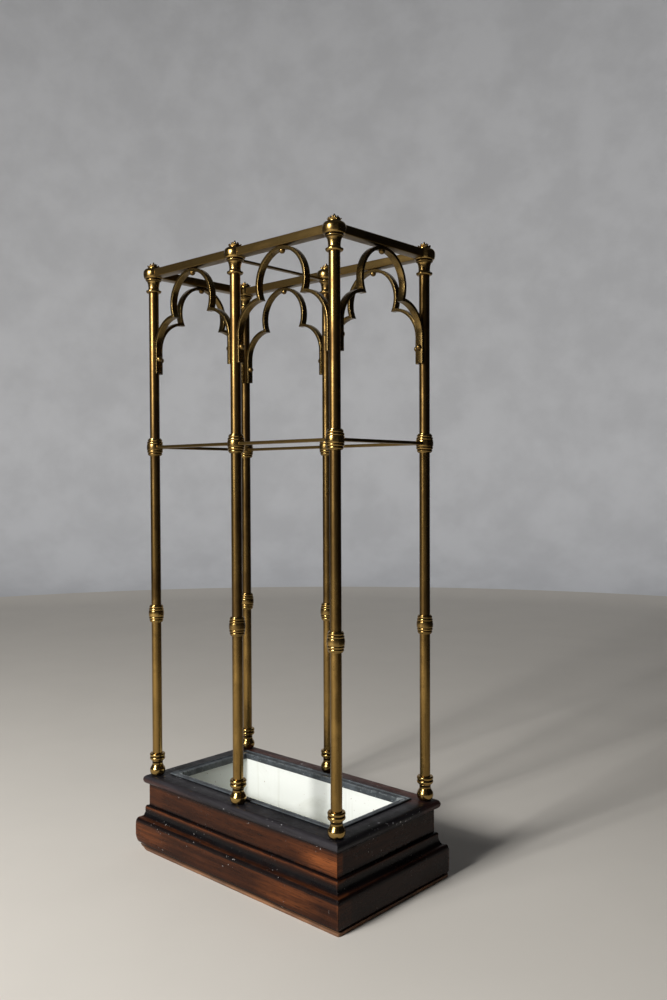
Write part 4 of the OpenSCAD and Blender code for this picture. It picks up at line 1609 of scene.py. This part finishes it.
    def leaf(self, foot_r: float, tip_r: float, tip_h: float, half_width: float) -> Piece:
        """Shapes one leaf of the crown from a small grid.

        Args:
            foot_r: Distance from the axis at its foot.
            tip_r: Distance from the axis at its tip.
            tip_h: Height of its tip.
            half_width: Half its greatest width.

        Returns:
            The leaf, pointing along +X, with a ridge down its middle.
        """
        deselect_all()
        bpy.ops.mesh.primitive_grid_add(x_subdivisions=4, y_subdivisions=7, size=2)
        leaf = bpy.context.active_object
        for vertex in leaf.data.vertices:
            across, up = vertex.co.x, (vertex.co.y + 1) / 2
            width = half_width * math.sin(math.pi * (0.22 + 0.78 * up)) ** 0.75 if up < 1 else 0.0
            curl = foot_r + (tip_r - foot_r) * up**1.6
            ridge = self.leaf_ridge * (1 - abs(across)) * math.sin(math.pi * min(1.0, up + 0.1))
            vertex.co = (curl + ridge, across * width, 0.5 + (tip_h - 0.8) * up**0.85)
        modify(leaf, "SOLIDIFY", thickness=self.leaf_t, offset=0)
        modify(leaf, "SUBSURF", levels=1, render_levels=1)
        weld(leaf)
        return leaf

    def crown(self) -> Piece:
        """Builds the crown nut: a turned base, two rings of leaves and a centre point."""
        r = self.crown_r
        base = turn(
            "crown_pattern",
            [
                (r - 0.9, 0.0), *bead(r - 0.8, 0.1, self.crown_base_h, 0.3),
                (r - 2.6, self.crown_base_h + 0.3), (2.9, 2.2), (2.3, 3.4), (1.4, 5.4), (0.4, self.crown_tip_h),
            ],
            0.0, 32,
        )
        parts = [base]
        step = 360 / self.leaves
        outer = (r - 1.9, r - self.leaf_lean, self.leaf_tip_h, 2.5, step / 2)
        rings = (outer, (2.6, self.inner_r - self.leaf_lean, self.inner_tip_h, 1.5, 0.0))
        for foot_r, tip_r, tip_h, half_width, start in rings:
            pattern = self.leaf(foot_r, tip_r, tip_h, half_width)
            parts += [copy_piece(pattern, "leaf", turned_by(start + step * s)) for s in range(self.leaves)]
            discard(pattern)
        return join(parts, "crown_pattern")

    def build(self) -> list[str]:
        """Models each kind of piece once and puts a copy on every column."""
        top = self.capital_z + self.cap_ring_h + self.bell_h + self.groove_h + self.boss_h
        kinds = (
            ("column_foot", self.foot(), self.layout.base_h, "foot_{}"),
            ("reeded_ring", self.barrel(self.lower_ring_r), self.lower_ring_z, "lower_rings"),
            ("reeded_collar", self.barrel(self.collar_r), self.layout.collar_z, "mid_collars"),
            ("column_capital", self.capital(), self.capital_z, "capital_{}"),
            ("leaf_crown", self.crown(), top, "crown_nuts"),
        )
        for title, pattern, z, node in kinds:
            write_relief(pattern)
            for i, (column, (x, y)) in enumerate(self.layout.columns().items()):
                piece = copy_piece(pattern, f"{title}_{column}", turned_by(self.turning * i, x, y, z))
                self.settle(piece, COLUMN_BRASS_TURNED, Slot.COLUMN, [node.format(column)])
            discard(pattern)
        for column in self.layout.columns():
            self.keep(f"shaft_{column}", COLUMN_BRASS_UPRIGHT)
        return self.made


@dataclass
class Rails(SubAssembly):
    """Square-edged top rails, flat mid rails and the cross bar between the middle columns."""

    top_h: float = 8.3
    top_depth: float = 12.0
    top_seat: float = 7.35
    mid_h: float = 3.2
    mid_depth: float = 8.0
    mid_seat: float = 6.5
    cross_h: float = 2.3
    cross_w: float = 5.0
    cross_seat: float = 5.65
    wave: float = 0.08
    top_ease: float = 0.7
    mid_ease: float = 0.6
    cross_ease: float = 0.5

    def bar(self, length: float, depth: float, height: float, ease: float) -> Piece:
        """Files a bar along X from a block, its long arrises eased.

        Args:
            length: Length of the bar.
            depth: Its depth.
            height: Its height.
            ease: Width of the eased arris.

        Returns:
            The bar, standing on the origin.
        """
        bar = block(length, depth, 0.0, height)
        with editing(bar, Element.EDGES):
            choose(bar, Element.EDGES, runs_along(X_AXIS, 1))
            bpy.ops.mesh.bevel(offset=ease, segments=3, affect="EDGES")
        divide_long(bar, X_AXIS, 20, 40)
        return bar

    def build(self) -> list[str]:
        """Models the bars and puts one in each bay."""
        bay, mid_z = self.layout.bay, self.layout.collar_z - self.mid_h / 2
        kinds = (
            ("top_rail", self.top_seat, self.top_depth, self.top_h, self.top_ease, self.layout.rail_z),
            ("mid_rail", self.mid_seat, self.mid_depth, self.mid_h, self.mid_ease, mid_z),
        )
        for title, seat, depth, height, ease, z in kinds:
            pattern = self.bar(bay - 2 * seat, depth, height, ease)
            for i, (name, (x, y, degrees)) in enumerate(self.layout.bays().items()):
                rail = copy_piece(pattern, f"{title}_bar_{name}", turned_by(degrees, x, y, z))
                weather(rail, self.wave, 0.12, seed=20.0 + i)
                finish = RAIL_BRASS_Y if degrees else RAIL_BRASS_X
                self.settle(rail, finish, Slot.RAIL, [f"{title}_{name}"])
            discard(pattern)
        pattern = self.bar(bay - 2 * self.cross_seat, self.cross_w, self.cross_h, self.cross_ease)
        cross = copy_piece(pattern, "cross_bar_flat", turned_by(90, 0, 0, self.layout.rail_z - self.cross_h))
        discard(pattern)
        weather(cross, 0.05, 0.1, seed=31.0)
        self.settle(cross, RAIL_BRASS_Y, Slot.RAIL, ["cross_bar"])
        return self.made


@dataclass
class Arches(SubAssembly):
    """Trefoil arches bent from strip, with ball-headed screws at feet and crown."""

    lobe_r: float = 30.0
    strip_t: float = 3.3
    depth: float = 7.4
    upper_z: float = 589.0
    lobe_drop: float = 44.0
    leg: float = 26.5
    screw_rise: float = 15.5
    ball_r: float = 3.1
    ball_out: float = 0.5
    shank_r: float = 1.25
    collar_out: float = 0.6
    arris: float = 0.4
    cusp_ease: float = 0.25
    lower_sweep: float = -104.0
    upper_sweep: float = 124.0
    sweep_step: float = 3.2

    @property
    def lobe_x(self) -> float:
        """Distance of the lower lobes' centres from the middle of the bay."""
        return self.layout.half_w - self.layout.shaft_r - CLEARANCE - self.lobe_r - self.strip_t

    def section(self) -> list[Point]:
        """Distance from the lobe's centre and depth of each point of the strip's section."""
        mid, t, d, r = self.lobe_r + self.strip_t / 2, self.strip_t / 2, self.depth / 2, self.arris
        corners = ((1, 1, 0), (-1, 1, 90), (-1, -1, 180), (1, -1, 270))
        points: list[Point] = []
        for a, b, start in corners:
            points += arc(mid + a * (t - r), b * (d - r), r, r, start, start + 90, 3)
        return points

    def lobe(self, name: str, centre: Point, start: float, sweep: float, foot: float = 0) -> Piece:
        """Bends the strip round one lobe.

        Args:
            name: Name of the length of strip.
            centre: The lobe's centre.
            start: Angle of its first section, in degrees.
            sweep: Angle that it is bent through, in degrees.
            foot: Length of straight strip below the first section.

        Returns:
            The strip, open at both ends.
        """
        angle = math.radians(start)
        out = Vector((math.cos(angle), 0, math.sin(angle)))
        hub = Vector((centre[0], 0, centre[1]))
        drop = Vector((0, 0, -foot))
        section = [hub + out * r + Vector((0, d, 0)) + drop for r, d in self.section()]
        strip = start_outline(name, section, filled=False)
        with editing(strip, Element.EDGES):
            if foot:
                for _ in range(6):
                    bpy.ops.mesh.extrude_region_move(TRANSFORM_OT_translate={"value": (0, 0, foot / 6)})
            steps = round(abs(sweep) / self.sweep_step)
            bpy.ops.mesh.spin(steps=steps, angle=math.radians(sweep), center=hub, axis=Y_AXIS)
        return strip

    def arch(self) -> Piece:
        """Joins half a trefoil at its mitred cusp and mirrors it."""
        lower_z = self.upper_z - self.lobe_drop
        centre = Vector((-self.lobe_x / 2, 0, (self.upper_z + lower_z) / 2))
        mitre = Vector((self.lobe_x, 0, self.lobe_drop)).normalized()
        lower = self.lobe("lower_lobe", (-self.lobe_x, lower_z), 180, self.lower_sweep, self.leg)
        cut_off(lower, centre, mitre, cap=False)
        upper = self.lobe("upper_lobe", (0, self.upper_z), 90, self.upper_sweep)
        cut_off(upper, centre, -mitre, cap=False)
        half = join([lower, upper], "half_arch")
        modify(half, "MIRROR", use_clip=True, merge_threshold=0.01)
        with editing(half, Element.EDGES):
            bpy.ops.mesh.remove_doubles(threshold=0.02)
            choose(half, Element.EDGES, lambda e: e.is_boundary)
            bpy.ops.mesh.edge_face_add()
        weld(half, 0.01)
        bevel_sharp(half, self.cusp_ease, segments=2, limit=38)
        return half

    def ball_screw(self, hold: float) -> Piece:
        """Turns a ball-headed screw that points up, its seat at the origin.

        Args:
            hold: Length of shank above the seat.

        Returns:
            The screw.
        """
        drop, r = self.ball_out, self.ball_r
        seat = math.degrees(math.asin((drop - 0.25) / r))
        outline = [
            (0.02, -drop - r), *arc(0, -drop, r, r, -84, seat, 18),
            (self.shank_r + self.collar_out, -0.25), (self.shank_r + 0.4, 0.2),
            (self.shank_r, 0.3), (self.shank_r, hold),
        ]
        return turn("screw_pattern", outline, 0.0, 28)

    def build(self) -> list[str]:
        """Models one arch and one screw and puts copies in every bay."""
        arch = self.arch()
        screw = self.ball_screw(self.strip_t + 0.6)
        write_relief(screw)
        leg_in = self.lobe_x + self.lobe_r
        foot_z = self.upper_z - self.lobe_drop - self.leg + self.screw_rise
        for i, (name, (x, y, degrees)) in enumerate(self.layout.bays().items()):
            bay = turned_by(degrees, x, y)
            strip = copy_piece(arch, f"trefoil_arch_{name}", bay)
            weather(strip, 0.08, 0.10, seed=40.0 + i)
            self.settle(strip, ARCH_BRASS, Slot.RAIL, [f"arch_{name}"])
            for side, way in (("a", -1), ("b", 1)):
                place = Matrix.Translation((way * leg_in, 0, foot_z)) @ Matrix.Rotation(way * math.pi / 2, 4, "Y")
                ball = copy_piece(screw, f"foot_screw_{name}_{side}", bay @ place)
                self.settle(ball, SCREW_BRASS, Slot.SCREW, ["arch_foot_screws"])
            place = Matrix.Translation((0, 0, self.upper_z + self.lobe_r))
            ball = copy_piece(screw, f"crown_screw_{name}", bay @ place)
            self.settle(ball, SCREW_BRASS, Slot.SCREW, ["arch_top_screws"])
        discard(arch, screw)
        return self.made


@dataclass
class TieRods(SubAssembly):
    """Iron rods that clamp every column to the base, with their nuts and washers."""

    def build(self) -> list[str]:
        """Dresses the hidden ironwork."""
        for node in ("tie_rods", "rod_nuts", "rod_washers"):
            self.keep(node, IRON)
        return self.made


@dataclass(frozen=True)
class Lamp:
    """One soft lamp: where it hangs as seen from the stand, its size in metres and its power."""

    name: str
    azimuth: float
    elevation: float
    distance: float
    size: tuple[float, float]
    power: float
    aim_z: float = 0.32
    colour: Colour = (1.0, 0.98, 0.95)

    def hang(self) -> None:
        """Hangs the lamp so that it faces the middle of the stand."""
        azimuth, elevation = math.radians(self.azimuth), math.radians(self.elevation)
        level = math.cos(elevation)
        way = Vector((math.sin(azimuth) * level, -math.cos(azimuth) * level, math.sin(elevation)))
        light = bpy.data.lights.new(self.name, "AREA")
        light.shape, light.energy = "RECTANGLE", self.power
        light.size, light.size_y = self.size
        light.color = self.colour
        lamp = bpy.data.objects.new(self.name, light)
        lamp.location = Vector((0, 0, self.aim_z)) + way * self.distance
        lamp.rotation_euler = way.to_track_quat("Z", "Y").to_euler()
        lamp.visible_camera = False
        bpy.context.scene.collection.objects.link(lamp)


@dataclass
class Studio:
    """Plain round studio with a pale floor, a key light, a wide soft light, a dark card and the camera."""

    radius: float = 2.6
    wall_h: float = 3.0
    cove_r: float = 0.5
    floor: Colour = (0.72, 0.69, 0.64)
    wall: Colour = (0.86, 0.88, 0.92)
    wall_painted_shade: Colour = (0.13, 0.13, 0.14)
    pale_way: float = 126.0
    card: Colour = (0.010, 0.010, 0.012)
    card_radius: float = 0.98
    card_from: float = -12.0
    card_to: float = 88.0
    card_h: float = 1.5
    key: Lamp = Lamp("key", -1.0, 23.0, 2.1, (0.40, 0.50), 46.0)
    window: Lamp = Lamp("window", -6.0, 20.0, 2.1, (0.90, 1.2), 20.0)
    sky: Colour = (0.93, 0.96, 1.0)
    sky_strength: float = 0.05
    camera_at: tuple[float, float, float] = (0.6826, -0.6691, 0.4033)
    azimuth: float = 42.48
    down: float = 1.30
    roll: float = -0.22
    lens: float = 32.79
    sensor: float = 36.0

    def matt(self, w: Wiring, colour: object, darker: Colour) -> Material:
        """Matt paint with soft clouds of a darker colour."""
        shade = w.mix(w.level(w.grain(6, detail=4), 0.3, 0.7, 0.0, 0.12), colour, darker)
        return w.finish(Base_Color=shade, Roughness=0.9, Specular_IOR_Level=0.1)

    def plain(self, name: str, colour: Colour) -> Material:
        """Matt paint of one colour for floor and card."""
        return self.matt(Wiring(name), colour, tuple(0.8 * c for c in colour))

    def wall_paint(self) -> Material:
        """Matt paint of the wall: pale behind the stand and darker round the rest of the room, a painted shade that the
        metal reflects.
        """
        w = Wiring("studio_wall")
        azimuth = math.radians(self.pale_way)
        along = w.add("ShaderNodeVectorMath", {"operation": "DOT_PRODUCT"}, {0: w.place})
        along.inputs[1].default_value = (math.cos(azimuth) / self.radius, math.sin(azimuth) / self.radius, 0)
        pale = w.level(along.outputs["Value"], 0.42, 0.84)
        # Painted shade: the walls away from the pale side are dark, so that the brass reflects shade there.
        return self.matt(w, w.mix(pale, self.wall_painted_shade, self.wall), self.wall_painted_shade)

    def room(self) -> None:
        """Spins floor, cove and wall as one sweep."""
        cove = arc(self.radius - self.cove_r, self.cove_r, self.cove_r, self.cove_r, -90, 0, 10)
        section = [(0.0, 0.0), (0.9, 0.0), *cove, (self.radius, self.wall_h)]
        deselect_all()
        bpy.ops.mesh.primitive_circle_add(vertices=len(section), radius=1, fill_type="NOTHING")
        room = bpy.context.active_object
        room.name = "studio_floor"
        for corner, (r, z) in zip(room.data.vertices, section, strict=True):
            corner.co = (r, 0, z)
        with editing(room, Element.EDGES):
            choose(room, Element.EDGES, lambda e: e.calc_length() > 2.8)
            bpy.ops.mesh.delete(type="EDGE")
            bpy.ops.mesh.select_all(action="SELECT")
            bpy.ops.mesh.spin(steps=96, angle=math.tau, center=(0, 0, 0), axis=Z_AXIS)
            bpy.ops.mesh.select_all(action="SELECT")
            bpy.ops.mesh.remove_doubles(threshold=0.0005)
            bpy.ops.mesh.normals_make_consistent(inside=True)
        pick_up(room)
        bpy.ops.object.shade_smooth()
        room.data.materials.append(self.plain("studio_floor", self.floor))
        room.data.materials.append(self.wall_paint())
        for face in room.data.polygons:
            face.material_index = int(face.center.z > 0.02)

    def dark_card(self) -> None:
        """Bends a dark card that stands at the right, out of the picture, and keeps that side in shade."""
        first, last = math.radians(self.card_from), math.radians(self.card_to)
        deselect_all()
        bpy.ops.mesh.primitive_plane_add(size=1)
        card = bpy.context.active_object
        card.name = "dark_card"
        foot = Vector((math.cos(first), math.sin(first), 0)) * self.card_radius
        with editing(card, Element.EDGES):
            choose(card, Element.EDGES, lambda e: all(v.co.y < 0 for v in e.verts))
            bpy.ops.mesh.select_all(action="INVERT")
            bpy.ops.mesh.delete(type="EDGE")
        for corner in card.data.vertices:
            corner.co = foot + Vector((0, 0, self.card_h if corner.co.x > 0 else 0.0))
        with editing(card, Element.EDGES):
            bpy.ops.mesh.spin(steps=24, angle=first - last, center=(0, 0, 0), axis=Z_AXIS)
        card.data.materials.append(self.plain("dark_card", self.card))
        card.visible_camera = False

    def lamps(self) -> None:
        """Hangs the lamps and sets the even light of the room."""
        self.key.hang()
        self.window.hang()
        world = bpy.data.worlds.new("studio")
        world.use_nodes = True
        sky = world.node_tree.nodes["Background"]
        sky.inputs["Color"].default_value = (*self.sky, 1.0)
        sky.inputs["Strength"].default_value = self.sky_strength
        bpy.context.scene.world = world

    def camera(self) -> None:
        """Sets the camera where the photograph was taken."""
        azimuth, down, roll = (math.radians(a) for a in (self.azimuth, self.down, self.roll))
        forward = Vector((-math.sin(azimuth) * math.cos(down), math.cos(azimuth) * math.cos(down), -math.sin(down)))
        right = Vector((math.cos(azimuth), math.sin(azimuth), 0))
        up = right.cross(forward)
        right, up = right * math.cos(roll) + up * math.sin(roll), up * math.cos(roll) - right * math.sin(roll)
        data = bpy.data.cameras.new("photo_camera")
        data.lens, data.sensor_width = self.lens, self.sensor
        data.clip_start, data.clip_end = 0.05, 20.0
        camera = bpy.data.objects.new("photo_camera", data)
        turning = Matrix((right, up, -forward)).transposed().to_4x4()
        camera.matrix_world = Matrix.Translation(self.camera_at) @ turning
        bpy.context.scene.collection.objects.link(camera)
        bpy.context.scene.camera = camera

    def build(self) -> None:
        """Builds the room, the lamps and the camera."""
        self.camera()
        self.room()
        self.dark_card()
        self.lamps()
        bpy.context.scene.view_settings.view_transform = "Standard"


def main() -> None:
    """Loads the frame, builds every sub-assembly and reports its pieces."""
    logging.basicConfig(level=logging.INFO, format="%(name)s: %(message)s")
    for leftover in list(bpy.data.objects):
        bpy.data.objects.remove(leftover)
    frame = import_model()
    layout, paintshop = Layout(), Paintshop()
    Studio().build()
    for kind in (Base, DripTray, Columns, Rails, Arches, TieRods):
        made = kind(layout, paintshop, frame).build()
        LOG.info("%s: %d pieces: %s", kind.__name__, len(made), ", ".join(made))


if __name__ == "__main__":
    main()
